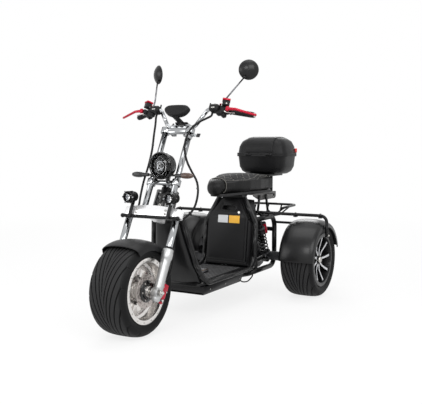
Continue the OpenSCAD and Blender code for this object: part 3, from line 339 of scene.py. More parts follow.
def make_finishes(colours):
    """Every finish of the scooter, by name."""
    surface_group()
    leather_group()
    panel, coat, rubber = Vector(colours.panel), Vector(colours.coat), Vector(colours.rubber)
    accent = Vector(colours.accent)
    finish("satin_panel", panel, 0.30, polish=0.05, bump=0.02, dust=0.004, coat=0.05, specular=0.27)
    finish("matt_panel", panel * 1.25, 0.44, grain=1500.0, bump=0.1, dust=0.006, specular=0.19)
    finish("gloss_black", coat, 0.14, bump=0.02, coat=0.3, specular=0.35)
    finish("powder_coat", coat, 0.36, grain=700.0, bump=0.1, dust=0.004, specular=0.2)
    finish("soft_rubber", rubber * 1.1, 0.6, bump=0.3, dust=0.01, specular=0.18)
    finish("chrome", (0.40, 0.41, 0.42), 0.12, 1.0, drift=0.08, polish=0.02, bump=0.0, dust=0.0, edge=0.3)
    # Painted reflection: a darker copy of chrome that stands in for the dark surroundings chrome reflects,
    # used on the mirror stems, spot lamp bowls and damper rods
    finish("chrome_painted_dark", (0.16, 0.16, 0.17), 0.28, 1.0, drift=0.1, polish=0.02, bump=0.0, dust=0.0, edge=0.5)
    finish("polished_alloy", (0.74, 0.72, 0.70), 0.24, 1.0, drift=0.03, polish=0.02, grain=300.0, bump=0.0,
           dust=0.0, edge=0.6)
    finish("cast_alloy", (0.47, 0.475, 0.475), 0.42, 0.85, drift=0.2, grain=500.0, bump=0.12, dust=0.0,
           edge=0.7)
    finish("bright_alloy", (0.86, 0.86, 0.87), 0.24, 0.6, drift=0.10, grain=300.0, bump=0.03, dust=0.0,
           coat=0.2, edge=0.7)
    finish("disc_steel", (0.46, 0.42, 0.40), 0.36, 1.0, drift=0.06, polish=0.02, grain=260.0, bump=0.02,
           dust=0.0)
    finish("dark_steel", (0.035, 0.035, 0.038), 0.46, 0.4, dust=0.03, specular=0.3)
    finish("zinc_bolt", (0.52, 0.51, 0.49), 0.26, 1.0, drift=0.3, bump=0.03, dust=0.0, edge=0.6)
    finish("red_anodised", accent, 0.30, 0.3, drift=0.2, bump=0.02, dust=0.0, coat=0.06, specular=0.2)
    finish("bronze", (0.20, 0.12, 0.06), 0.38, 0.9, drift=0.4, bump=0.06)
    finish("grey_pan", (0.016, 0.016, 0.017), 0.5, bump=0.2, specular=0.3)
    finish("grey_bracket", (0.085, 0.083, 0.082), 0.44, 0.1, specular=0.35)
    finish("red_lens", (0.62, 0.030, 0.025), 0.16, drift=0.2, grain=250.0, bump=0.1, coat=0.3)
    finish("thread", tuple(colours.thread), 0.75, grain=3000.0, bump=0.4, dust=0.0)
    finish("piping", (0.135, 0.130, 0.118), 0.6, grain=2000.0, bump=0.3, dust=0.0, specular=0.3)
    finish("label_grey", (0.60, 0.61, 0.62), 0.42, drift=0.06, bump=0.03, specular=0.3)
    finish("label_yellow", (0.78, 0.42, 0.045), 0.42, drift=0.08, bump=0.03, specular=0.3)
    finish("red_wire", (0.42, 0.012, 0.020), 0.42, bump=0.05)
    finish("mirror_glass", (0.80, 0.82, 0.84), 0.02, 1.0, drift=0.04, polish=0.02, bump=0.0, dust=0.0)
    finish("screen_glass", (0.006, 0.007, 0.009), 0.06, drift=0.3, polish=0.02, bump=0.0, coat=0.3,
           specular=0.4)
    finish("seat_cloth", (0.030, 0.030, 0.031), 0.7, drift=0.25, grain=2200.0, bump=0.5, specular=0.25)
    tyre = finish("tyre_rubber", rubber * 0.7, 0.62, grain=500.0, bump=0.15, dust=0.004, specular=0.14)
    relink_colour(tyre, paler_tread)
    mat = finish("mat_rubber", (0.006, 0.006, 0.0065), 0.6, grain=700.0, bump=0.2, dust=0.01, specular=0.2)
    relink_colour(mat, paler_ribs)
    caliper = finish("caliper_red", accent, 0.34, 0.2, drift=0.2, bump=0.05, dust=0.0, specular=0.2)
    relink_colour(caliper, dark_inside)
    signal = finish("smoked_lens", (0.075, 0.045, 0.034), 0.16, drift=0.2, bump=0.0, coat=0.2, specular=0.4)
    # Painted shade: the right-hand signal's lens is laid over with black
    relink_colour(signal, right_signal_painted_shade)
    leather = finish("leather", tuple(colours.leather), 0.42, drift=0.25, bump=0.0, dust=0.004, specular=0.2)
    graph = Graph(leather.node_tree)
    grain = graph.add("ShaderNodeGroup", node_tree=bpy.data.node_groups["Leather grain"])
    links = {"Height": grain.outputs["Height"], "Strength": 0.25, "Distance": 0.0004}
    relief = graph.add("ShaderNodeBump", links)
    leather.node_tree.links.new(relief.outputs["Normal"], shader_of(leather).inputs["Normal"])
    two_tone = finish("two_tone_rim", (0.014, 0.014, 0.015), 0.32, 0.4, bump=0.03, coat=0.1, specular=0.3)
    relink_colour(two_tone, machined_spokes)
    lens = finish("clear_lens", (0.96, 0.97, 0.98), 0.0, drift=0.02, polish=0.0, bump=0.0, dust=0.0)
    shader_of(lens).inputs["Transmission Weight"].default_value = 1.0
    shader_of(lens).inputs["IOR"].default_value = 1.4
    glow = finish("led_white", (0.42, 0.43, 0.45), 0.25, drift=0.05, bump=0.0, dust=0.0)
    shader = shader_of(glow)
    shader.inputs["Emission Color"].default_value = (0.92, 0.96, 1.0, 1)
    shader.inputs["Emission Strength"].default_value = 0.05


def right_signal_painted_shade(graph, colour):
    """Painted shade: black on the right-hand one of a pair of identical smoked lenses, as if that signal lay
    in shade.
    """
    across = graph.axes(graph.place())["Y"]
    return graph.mix(graph.remap(across, 0.001, -0.001), colour, MASKED_BLACK)


def paler_tread(graph, colour):
    """Paler rubber where a tyre faces away from its axle, darker on its walls."""
    across = graph.axes(graph.place("Normal"))["Y"]
    return graph.mix(graph.remap(graph.math("ABSOLUTE", across), 0.75, 0.40), colour, TREAD_GREY)


def paler_ribs(graph, colour):
    """Paler grey on the tops of the floor mat's ribs."""
    height = graph.axes(graph.place())["Z"]
    return graph.mix(graph.remap(height, MAT_Z * MM, (MAT_Z + 1.2) * MM), colour, RIB_GREY)


def dark_inside(graph, colour):
    """Black on the inner half of the caliper, over the disc."""
    across = graph.axes(graph.place())["Y"]
    return graph.mix(graph.remap(across, 0.118, 0.116), colour, MASKED_BLACK)


def machined_spokes(graph, colour):
    """Bare metal where a rear rim's spokes face outwards."""
    place = graph.axes(graph.place())
    facing_out = graph.axes(graph.in_scene())["Y"]
    ahead = graph.math("SUBTRACT", place["X"], REAR_X * MM)
    above = graph.math("SUBTRACT", place["Z"], TYRE_R * MM)
    squares = [graph.math("MULTIPLY", length, length) for length in (ahead, above)]
    radius = graph.math("SQRT", graph.math("ADD", *squares))
    face = graph.remap(graph.math("ABSOLUTE", facing_out), 0.90, 0.96)
    within = graph.math("MULTIPLY", graph.remap(radius, 0.030, 0.034), graph.remap(radius, 0.144, 0.142))
    return graph.mix(graph.math("MULTIPLY", face, within), colour, BARE_METAL)


# Shapes


def turned(rows, steps=64, angle=math.tau):
    """A round form about Z from a section of [radius, height] points."""
    bm = bmesh.new()
    verts = [bm.verts.new((r, 0, z)) for r, z in rows]
    edges = [bm.edges.new(pair) for pair in zip(verts, verts[1:])]
    full = angle >= math.tau
    bmesh.ops.spin(bm, geom=verts + edges, cent=(0, 0, 0), axis=UP, angle=angle, steps=steps, use_merge=full)
    bmesh.ops.remove_doubles(bm, verts=bm.verts, dist=1e-4)
    bmesh.ops.recalc_face_normals(bm, faces=bm.faces)
    return bm


def soften(bm, edges, round_r, segments=2):
    """Rounds some edges of a bmesh."""
    bmesh.ops.bevel(bm, geom=edges, offset=round_r, affect="EDGES", segments=segments, profile=0.5,
                    material=-1)


def block(size, round_r=1.0, segments=2):
    """A box about its middle with rounded edges."""
    bm = bmesh.new()
    bmesh.ops.create_cube(bm, size=1.0)
    bmesh.ops.scale(bm, vec=size, verts=bm.verts)
    if round_r:
        soften(bm, bm.edges[:], round_r, segments)
    return bm


def plate(outline, thick, round_r=0.8):
    """A flat plate in XY from its outline, raised along Z, with rounded edges."""
    bm = bmesh.new()
    face = bm.faces.new([bm.verts.new((x, y, 0)) for x, y in outline])
    raised = bmesh.ops.extrude_face_region(bm, geom=[face])["geom"]
    bmesh.ops.translate(bm, vec=(0, 0, thick), verts=[v for v in raised if isinstance(v, bmesh.types.BMVert)])
    bmesh.ops.recalc_face_normals(bm, faces=bm.faces)
    if round_r:
        soften(bm, [e for e in bm.edges if min(v.co.z for v in e.verts) > thick / 2], round_r)
    return bm


def cap_screw(r, height):
    """A socket-head screw on its seat, along Z."""
    socket = height - 0.55 * r
    return turned([(0, socket), (0.5 * r, socket), (0.52 * r, height), (0.9 * r, height),
                   (r, height - 0.12 * r), (r, 0)], 20)


def hex_nut(r, height):
    """A chamfered hexagon with a rounded stud end, along Z."""
    bm = bmesh.new()
    bmesh.ops.create_cone(bm, cap_ends=True, segments=6, radius1=r, radius2=r, depth=height)
    bmesh.ops.translate(bm, vec=(0, 0, height / 2), verts=bm.verts)
    soften(bm, [e for e in bm.edges if min(v.co.z for v in e.verts) > height - 1e-3], 0.14 * r)
    add(bm, turned([(0, height + 0.4 * r), (0.35 * r, height + 0.36 * r), (0.45 * r, height + 0.2 * r),
                    (0.45 * r, height - 1)], 16))
    return bm


def add(target, source, matrix=None, material=0):
    """Adds one bmesh to another, moved by a matrix."""
    mesh = bpy.data.meshes.new("part")
    for face in source.faces:
        face.material_index = material
    if matrix is not None:
        bmesh.ops.transform(source, matrix=matrix, verts=source.verts)
        if matrix.determinant() < 0:
            bmesh.ops.reverse_faces(source, faces=source.faces)
    source.to_mesh(mesh)
    target.from_mesh(mesh)
    bpy.data.meshes.remove(mesh)
    source.free()


def joined(parts):
    """One bmesh from parts of [bmesh, matrix, number of its finish]; the first finish needs no number."""
    bm = bmesh.new()
    for part in parts:
        add(bm, *part)
    return bm


def smooth_path(points, count=8):
    """Points on a smooth curve through the given ones."""
    pts = [Vector(p) for p in points]
    pts = [2 * pts[0] - pts[1], *pts, 2 * pts[-1] - pts[-2]]
    path = []
    for a, b, c, d in zip(pts, pts[1:], pts[2:], pts[3:]):
        for i in range(count):
            t = i / count
            bend, twist = 2 * a - 5 * b + 4 * c - d, 3 * b - a - 3 * c + d
            path.append(0.5 * (2 * b + (c - a) * t + bend * t * t + twist * t ** 3))
    return [*path, pts[-2]]


def hose(points, radius, sides=10, count=8):
    """A round cable through the points, its ends closed."""
    path = smooth_path(points, count)
    bm = bmesh.new()
    loop = bmesh.ops.create_circle(bm, cap_ends=True, segments=sides, radius=radius)["verts"]
    last = (path[1] - path[0]).normalized()
    bmesh.ops.transform(bm, matrix=facing(path[0], last), verts=loop)
    edges = list({e for v in loop for e in v.link_edges})
    for i in range(1, len(path)):
        way = (path[min(i + 1, len(path) - 1)] - path[i - 1]).normalized()
        made = bmesh.ops.extrude_edge_only(bm, edges=edges)["geom"]
        loop = [v for v in made if isinstance(v, bmesh.types.BMVert)]
        edges = [e for e in made if isinstance(e, bmesh.types.BMEdge)]
        turn = last.rotation_difference(way).to_matrix().to_4x4()
        step = Matrix.Translation(path[i]) @ turn @ Matrix.Translation(-path[i - 1])
        bmesh.ops.transform(bm, matrix=step, verts=loop)
        last = way
    bmesh.ops.contextual_create(bm, geom=edges)
    bmesh.ops.recalc_face_normals(bm, faces=bm.faces)
    return bm


def piece(name, bm, finishes, body, smooth=38.0, scale=MM):
    """Finishes a bmesh as an object that rides on a body."""
    bmesh.ops.scale(bm, vec=(scale,) * 3, verts=bm.verts)
    mesh = bpy.data.meshes.new(name)
    bm.to_mesh(mesh)
    bm.free()
    mesh.shade_smooth()
    mesh.set_sharp_from_angle(angle=math.radians(smooth))
    for label in [finishes] if isinstance(finishes, str) else finishes:
        mesh.materials.append(FINISHES[label])
    made = bpy.data.objects.new(name, mesh)
    bpy.context.scene.collection.objects.link(made)
    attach(made, body)
    return made


def pair(matrix):
    """A matrix and its mirror image in the scooter's middle plane."""
    return (matrix, sided(-1) @ matrix)


def settings():
    """The settings that the sidebar shows."""
    return bpy.context.scene.scooter_looks


# Operators: one for the stage, one for the carried-over solids and one for each group of pieces

NODE_FINISH = {
    "satin_panel": ("leg_shield", "edge_bands", "rear_mudguard_left", "rear_mudguard_right", "mirrors",
                    "footboard"),
    "matt_panel": ("belly_pan", "battery_housing", "battery_pack", "case_base", "case_lid", "front_mudguard",
                   "bar_controls", "display"),
    "gloss_black": ("neck_cover", "headlamp"),
    "powder_coat": ("frame", "swing_arm", "mudguard_rail", "luggage_basket", "case_carrier", "fork_bar",
                    "spot_lamps", "rear_shocks"),
    "soft_rubber": ("grips", "floor_cable", "steering_cables"),
    "mat_rubber": ("floor_mat",),
    "tyre_rubber": ("front_tyre", "rear_left_tyre", "rear_right_tyre"),
    "chrome": ("fork_tubes", "upper_clamps", "handlebar"),
    # Painted reflection: the mirror stems take the darker copy of chrome
    "chrome_painted_dark": ("mirror_stems",),
    "polished_alloy": ("front_rim",),
    "bright_alloy": ("lower_clamp",),
    "cast_alloy": ("fork_sliders",),
    "disc_steel": ("front_disc",),
    "zinc_bolt": ("front_axle",),
    "dark_steel": ("rear_axle", "floor_latch"),
    "red_anodised": ("brake_levers",),
    "caliper_red": ("front_caliper",),
    "grey_pan": ("seat_pan",),
    "grey_bracket": ("seat_bracket",),
    "leather": ("seat_nose", "seat_cushion"),
    "smoked_lens": ("turn_signals",),
    "red_lens": ("tail_lamp",),
    "clear_lens": ("lamp_lenses",),
    "two_tone_rim": ("rear_left_rim", "rear_right_rim"),
}
# Edges of these solids are rounded by this many millimetres
ROUNDED = {
    "neck_cover": 3.0, "leg_shield": 4.0, "belly_pan": 3.0, "battery_housing": 4.0, "battery_pack": 3.0,
    "footboard": 2.0, "floor_mat": 1.2, "floor_latch": 1.0, "bar_controls": 3.0, "display": 3.0,
    "headlamp": 1.2, "lower_clamp": 3.5, "upper_clamps": 2.0, "fork_sliders": 2.0, "front_caliper": 4.0,
    "front_mudguard": 1.0, "spot_lamps": 0.8, "brake_levers": 1.2, "seat_bracket": 2.0, "seat_pan": 3.0,
    "swing_arm": 2.0, "rear_axle": 4.0, "case_carrier": 3.0, "case_base": 1.5, "case_lid": 1.5,
    "front_rim": 1.4, "rear_left_rim": 1.6, "rear_right_rim": 1.6, "front_disc": 0.5, "tail_lamp": 2.0,
    "grips": 1.5, "front_axle": 1.2, "rear_mudguard_left": 0.6, "rear_mudguard_right": 0.6,
}
# Edges of the solids that turn by more than this are rounded, and points closer than this are joined
SHARP, SAME_PLACE = math.radians(34), 2e-5


class SCOOTER_OT_solids(bpy.types.Operator):
    """Give every carried-over solid its finish and rounded edges"""

    bl_idname = "scooter.solids"
    bl_label = "Finish the solids"

    def execute(self, context):
        make_finishes(settings().finishes)
        for label, names in NODE_FINISH.items():
            for name in names:
                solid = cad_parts[name]
                solid.data.materials.clear()
                solid.data.materials.append(FINISHES[label])
                weld = solid.modifiers.new("Joined", "WELD")
                weld.merge_threshold = SAME_PLACE
                if name in ROUNDED:
                    rounded = solid.modifiers.new("Rounded", "BEVEL")
                    rounded.width = ROUNDED[name] * MM
                    rounded.segments = 2
                    rounded.limit_method = "ANGLE"
                    rounded.angle_limit = SHARP
                    rounded.use_clamp_overlap = True
                    rounded.harden_normals = True
                solid.data.shade_smooth()
        return {"FINISHED"}


class SCOOTER_OT_stage(bpy.types.Operator):
    """Set the pale floor, the soft light and the camera"""

    bl_idname = "scooter.stage"
    bl_label = "Stage"

    def execute(self, context):
        stage, scene = settings().stage, context.scene
        scene.view_settings.view_transform = "Standard"
        self.white_room(scene)
        bm = bmesh.new()
        bmesh.ops.create_grid(bm, x_segments=2, y_segments=2, size=30.0)
        mesh = bpy.data.meshes.new("floor")
        bm.to_mesh(mesh)
        bm.free()
        floor = bpy.data.objects.new("floor", mesh)
        floor.location.z = -0.0005
        mesh.materials.append(self.floor_paint())
        scene.collection.objects.link(floor)
        self.lamp("key", (2.2, 3.6, 3.4), (0, 0.1, 0.5), 3.2, stage.key)
        self.lamp("fill", (3.8, -3.0, 1.9), (0.2, 0, 0.6), 3.0, stage.key * 0.55)
        self.lamp("top", (-0.2, 0.0, 4.2), (-0.1, 0, 0), 3.4, stage.key * 0.5)
        self.lamp("front", (3.2, 0.8, 2.6), (0, 0, 0.4), 1.5, stage.key * 0.4)
        self.lamp("rear", (-3.6, -1.8, 2.6), (-0.4, 0, 0.6), 2.6, stage.key * 0.55)
        data = bpy.data.cameras.new("camera")
        data.sensor_width, data.lens = 36.0, stage.lens
        camera = bpy.data.objects.new("camera", data)
        camera.location = stage.camera_at
        level = math.cos(stage.pitch)
        back = Vector((level * math.cos(stage.turn), level * math.sin(stage.turn), math.sin(stage.pitch)))
        camera.rotation_mode = "QUATERNION"
        camera.rotation_quaternion = (-back).to_track_quat("-Z", "Y")
        scene.collection.objects.link(camera)
        scene.camera = camera
        return {"FINISHED"}

    def lamp(self, name, place, target, size, power):
        """A large soft light at a place, turned to its target."""
        data = bpy.data.lights.new(name, "AREA")
        data.shape, data.size, data.size_y, data.energy = "RECTANGLE", size, size * 0.7, power
        made = bpy.data.objects.new(name, data)
        made.location = place
        made.rotation_mode = "QUATERNION"
        made.rotation_quaternion = (Vector(target) - Vector(place)).to_track_quat("-Z", "Y")
        bpy.context.scene.collection.objects.link(made)

    def seen(self, graph):
        """1 on rays that show the background itself: from the camera, in a reflection or through glass."""
        path = graph.add("ShaderNodeLightPath").outputs
        seen = graph.math("ADD", path["Is Camera Ray"], path["Is Glossy Ray"], clamp=True)
        return graph.math("ADD", seen, path["Is Transmission Ray"], clamp=True)

    def white_room(self, scene):
        """A background that shows white and lights a little less."""
        scene.world = bpy.data.worlds.new("white_room")
        scene.world.use_nodes = True
        graph = Graph(scene.world.node_tree)
        light = scene.world.node_tree.nodes["Background"]
        light.inputs["Color"].default_value = (1, 1, 1, 1)
        strength = graph.add("ShaderNodeMix", {0: self.seen(graph), 2: 0.6, 3: 1.0})
        scene.world.node_tree.links.new(strength.outputs[0], light.inputs["Strength"])

    def floor_paint(self):
        """Pale paint that shines by itself where it is seen, more so further out."""
        paint = bpy.data.materials.new("floor_paint")
        paint.use_nodes = True
        graph = Graph(paint.node_tree)
        shader = shader_of(paint)
        shader.inputs["Base Color"].default_value = (0.86, 0.86, 0.86, 1)
        shader.inputs["Roughness"].default_value = 0.9
        shader.inputs["Specular IOR Level"].default_value = 0.1
        shine = graph.add("ShaderNodeEmission", {"Color": (1, 1, 1, 1), "Strength": 1.0})
        far = graph.add("ShaderNodeVectorMath", {0: graph.in_scene("Position")}, operation="LENGTH")
        shining = graph.remap(far.outputs["Value"], 1.0, 6.0, 0.80, 1.0)
        part = graph.math("MULTIPLY", self.seen(graph), shining)
        both = graph.add("ShaderNodeMixShader", {0: part, 1: shader.outputs[0], 2: shine.outputs[0]})
        paint.node_tree.links.new(both.outputs[0], paint.node_tree.nodes["Material Output"].inputs["Surface"])
        return paint


def tyre_section():
    """Points round a tyre's outside from bead to bead: [radius, distance from the middle]."""
    half = [(BEAD_R + 1, 90), (FLANGE_R + 1, 91), (FLANGE_R + 3, 96), (178, 103), (190, 106.6), (200, 107.4),
            (204, 107.2), (205.5, 106.0), (208, 105.6), (214, 102.4), (222, 96.4), (228, 89), (232, 80.5),
            (235, 68), (236.8, 54), (237.9, 38), (238.4, 20), (238.5, 7)]
    rows = half + [(r, -w) for r, w in reversed(half)]
    fine = [rows[0]]
    for (r0, w0), (r1, w1) in zip(rows, rows[1:]):
        step = 1.8 if min(r0, r1) > 221 else 4.5
        parts = max(1, round(math.hypot(r1 - r0, w1 - w0) / step))
        fine += [(r0 + (r1 - r0) * i / parts, w0 + (w1 - w0) * i / parts) for i in range(1, parts + 1)]
    return fine


# Pitches that a long groove sweeps, how its sweep bends, and the slope of that sweep
SWEEP, BEND, SLOPE = 4.9, 0.62, 3.04
# Shares of the half width where long grooves and hooks begin and end, and where a hook leaves its groove
LONG_FROM, LONG_TO, HOOK_FROM, HOOK_TO, HOOK_START = 0.04, 0.885, 0.85, 0.985, 0.87
# Half widths of a long groove and of a hook at the tread's top, in millimetres
LONG_HALF, HOOK_HALF = 2.4, 3.6


def from_whole(value):
    """Distance to the nearest whole number."""
    return abs((value + 0.5) % 1.0 - 0.5)


def groove_depth(turn, w, grooves):
    """How much of a groove's full depth lies at a point of the tread; turn counts from 0 to 1 round the tyre.

    Each groove leaves the middle almost along the tread, sweeps out over several pitches and ends in a hook
    that runs straight over the shoulder.
    """
    share, side = max(abs(w) / (TYRE_W / 2), 0.02), 0.5 if w < 0 else 0.0
    phase = turn * grooves + side
    off = from_whole(phase + SWEEP * share ** BEND) / (SLOPE * share ** (BEND - 1)) * TYRE_W / 2
    long = min(1.0, LONG_HALF - off, (share - LONG_FROM) / 0.03, (LONG_TO - share) / 0.02)
    off = from_whole(phase + SWEEP * HOOK_START ** BEND) / grooves * math.tau * TYRE_R
    hook = min(0.8, (HOOK_HALF - off) / 1.8, (share - HOOK_FROM) / 0.02, (HOOK_TO - share) / 0.03)
    return max(0.0, long, hook)


class SCOOTER_OT_tyres(bpy.types.Operator):
    """Make the three tyres with sweeping grooves and hooked shoulder cuts"""

    bl_idname = "scooter.tyres"
    bl_label = "Tyres"

    def execute(self, context):
        tread = settings().tyres
        wheels = (("front", FRONT_AXLE.x, 0.0), ("rear_left", REAR_X, WHEEL_Y),
                  ("rear_right", REAR_X, -WHEEL_Y))
        others = tread.grooves - 1
        sector = self.sector(tread)
        for name, x, y in wheels:
            bm = sector.copy()
            bmesh.ops.spin(bm, geom=bm.verts[:] + bm.edges[:] + bm.faces[:], cent=(0, 0, 0), axis=UP,
                           angle=math.tau * others / tread.grooves, steps=others, use_duplicate=True)
            bmesh.ops.remove_doubles(bm, verts=bm.verts, dist=1e-3)
            bmesh.ops.transform(bm, matrix=wheel_matrix(x, y), verts=bm.verts)
            made = piece(name + "_tread_tyre", bm, "tyre_rubber", name + "_wheel", 50)
            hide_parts(name + "_tyre")
        sector.free()
        return {"FINISHED"}

    def sector(self, tread):
        """The part of a tyre that holds one groove of each half."""
        bm = turned(tyre_section(), tread.steps // tread.grooves, math.tau / tread.grooves)
        for v in bm.verts:
            r = math.hypot(v.co.x, v.co.y)
            if r > 205:
                turn = math.atan2(v.co.y, v.co.x) / math.tau
                cut = groove_depth(turn, v.co.z, tread.grooves) * tread.depth / MM / r
                v.co.x -= v.co.x * cut
                v.co.y -= v.co.y * cut
        return bm


class SCOOTER_OT_wheels(bpy.types.Operator):
    """Add the hub covers, caps, nuts, valve and rim screws"""

    bl_idname = "scooter.wheels"
    bl_label = "Wheel trim"

    def execute(self, context):
        left = wheel_matrix(FRONT_AXLE.x, 0)
        right = left @ spun(math.pi, "X")
        cover = [(30.4, 0), (57, 0), (57, 5), (54, 8), (46, 10), (38, 10.5), (35, 14), (30.4, 14)]
        valve = [(0, 30), (2.6, 30), (2.6, 22), (4, 20), (4, 0)]
        parts = [(turned(cover, 48), left @ moved(0, 0, 92.2)),
                 (turned(cover, 48), right @ moved(0, 0, 87.9))]
        for on_left, on_right in zip(ring(6, 47, 101.5), ring(6, 47, 97)):
            parts.append((cap_screw(5, 4.5), left @ on_left, 1))
            parts.append((cap_screw(5, 4.5), right @ on_right, 1))
        for spot in ring(16, BEAD_R + 6, RIM_W / 2 - 0.2, 0.5):
            parts.append((cap_screw(3.4, 2.6), left @ spot, 1))
        parts.append((turned(valve, 14), left @ spun(0.9, "Z") @ moved(BEAD_R - 8, 0, 70) @ spun(0.35, "Y")))
        piece("front_hub_trim", joined(parts), ("gloss_black", "zinc_bolt"), "front_wheel")
        cap = [(0, 11), (12, 10.4), (18, 8), (21, 4), (22, 0)]
        for name, side in (("rear_left", 1), ("rear_right", -1)):
            hub = wheel_matrix(REAR_X, side * WHEEL_Y) @ Matrix.Scale(side, 4, UP)
            parts = [(turned(cap, 40), hub @ moved(0, 0, 78))]
            parts += [(hex_nut(5.2, 6), hub @ spot) for spot in ring(5, 29.5, 66)]
            piece(name + "_hub_cap", joined(parts), "zinc_bolt", name + "_wheel")
        return {"FINISHED"}


class SCOOTER_OT_fork(bpy.types.Operator):
    """Add the fork's seals, screws, key, brake hose, caliper body and cable ties"""

    bl_idname = "scooter.fork"
    bl_label = "Fork trim"

    def execute(self, context):
        seal = [(19.3, 0), (27, 0), (27, 5), (24, 9), (19.3, 11)]
        seals = [(turned(seal, 40), FORK @ moved(LEG_X, y, 235)) for y in (-LEG_Y, LEG_Y)]
        piece("fork_seals", joined(seals), "soft_rubber", "steering")
        self.screws()
        self.key()
        self.brake_hose()
        self.caliper()
        tie = [(6.0, -2.4), (7.3, -2.4), (7.6, 0), (7.3, 2.4), (6.0, 2.4)]
        tied = (((26, 110, 860), (0.05, 0.1, 1)), ((-72, 192, 605), (0.1, -0.2, 1)),
                ((-21, -138, 840), (0, 0.1, 1)), ((-30, -135, 660), (0.1, 0.1, 1)))
        ties = [(turned(tie, 20), FORK @ facing(place, way)) for place, way in tied]
        piece("cable_ties", joined(ties), "gloss_black", "steering")
        return {"FINISHED"}

    def screws(self):
        """Screws of the clamps, risers and feet, caps of the upper tubes, caliper bolts and axle nuts."""
        parts = []
        tube_cap = [(0, 9), (9, 9), (12, 6), (13.5, 0)]
        for y in (-1, 1):
            for z in (413, 433):
                parts.append((cap_screw(6, 6), FORK @ facing((LEG_X + 32, 92 * y, z), AHEAD)))
            for x in (-12, 12):
                parts.append((cap_screw(4.5, 6), FORK @ facing((-49.5 + x, 50 * y, 976), UP)))
            for z in (-14, 6):
                parts.append((cap_screw(5, 6), FORK @ facing((LEG_X + 4, (LEG_Y + 18) * y, z), LEFT * y)))
            parts.append((turned(tube_cap, 30), FORK @ facing((UPPER_X, UPPER_Y * y, 945), UP)))
        parts.append((cap_screw(7, 7), FORK @ facing((-86, 118, 61), (0.2, 0, 1))))
        parts.append((cap_screw(6, 6), FORK @ facing((-46, 152, 44), LEFT)))
        for y in (-1, 1):
            parts.append((hex_nut(11, 9), FORK @ facing((0, 185.2 * y, 0), LEFT * y)))
        piece("fork_screws", joined(parts), "zinc_bolt", "steering")

    def key(self):
        """A round lock on the left tube, and a barrel with its key beside it."""
        lock = FORK @ facing((7.8, 76, 889), (0.866, -0.5, 0))
        barrel = FORK @ facing((UPPER_X, 98, 903), (0.1, 1, -0.1))
        piece("key_barrel", joined([
            (turned([(0, 2), (9, 2), (10.5, 3.4), (12.6, 2.6), (13, -4)], 36), lock),
            (block((2.6, 9, 2), 0.4), lock @ moved(0, 0, 2.2), 1),
            (turned([(0, 24), (7, 24), (8.6, 22), (8.6, 0)], 28), barrel),
            (block((3, 8, 28), 0.8), barrel @ moved(0, 0, 34)),
            (block((5, 22, 24), 2.2, 3), barrel @ moved(0, 0, 46), 1)]),
            ("chrome", "dark_steel"), "steering")

    def brake_hose(self):
        """The hose to the caliper, its end fittings and a grommet."""
        route = [(-40, 128, 402), (-52, 126, 372), (-74, 128, 320), (-96, 130, 250), (-112, 130, 180),
                 (-116, 126, 130), (-110, 116, 92), (-104, 106, 61)]
        fitting = [(4.2, 0), (6.5, 0), (6.5, 10), (5, 18), (4.2, 19)]
        grommet = [(6.2, -5), (10, -4), (11.5, 0), (10, 4), (6.2, 5)]
        parts = [(hose(route, 4.0), FORK)]
        for end, inner in ((route[0], route[1]), (route[-1], route[-2])):
            parts.append((turned(fitting, 16), FORK @ facing(end, Vector(inner) - Vector(end))))
        parts.append((turned(grommet, 20), FORK @ facing((-83, 178, 464), (0.3, -0.5, -0.8))))
        piece("brake_hose", joined(parts), "soft_rubber", "steering")

    def caliper(self):
        """The caliper's rounded red body, its dark bridge and two bolts."""
        parts = [(block((42, 30, 50), 14, 5), FORK @ moved(-62, 148, 6)),
                 (block((24, 14, 11), 3, 3), FORK @ moved(-60, 150, -36)),
                 (block((74, 12, 15), 4, 3), FORK @ moved(-38, 146, -26) @ spun(-0.12, "Y"), 1)]
        for x, z in ((-78, 24), (-56, -4)):
            parts.append((cap_screw(4.6, 4), FORK @ facing((x, 158.6, z), LEFT), 2))
        finishes = ("red_anodised", "dark_steel", "zinc_bolt")
        piece("caliper_body", joined(parts), finishes, "steering")


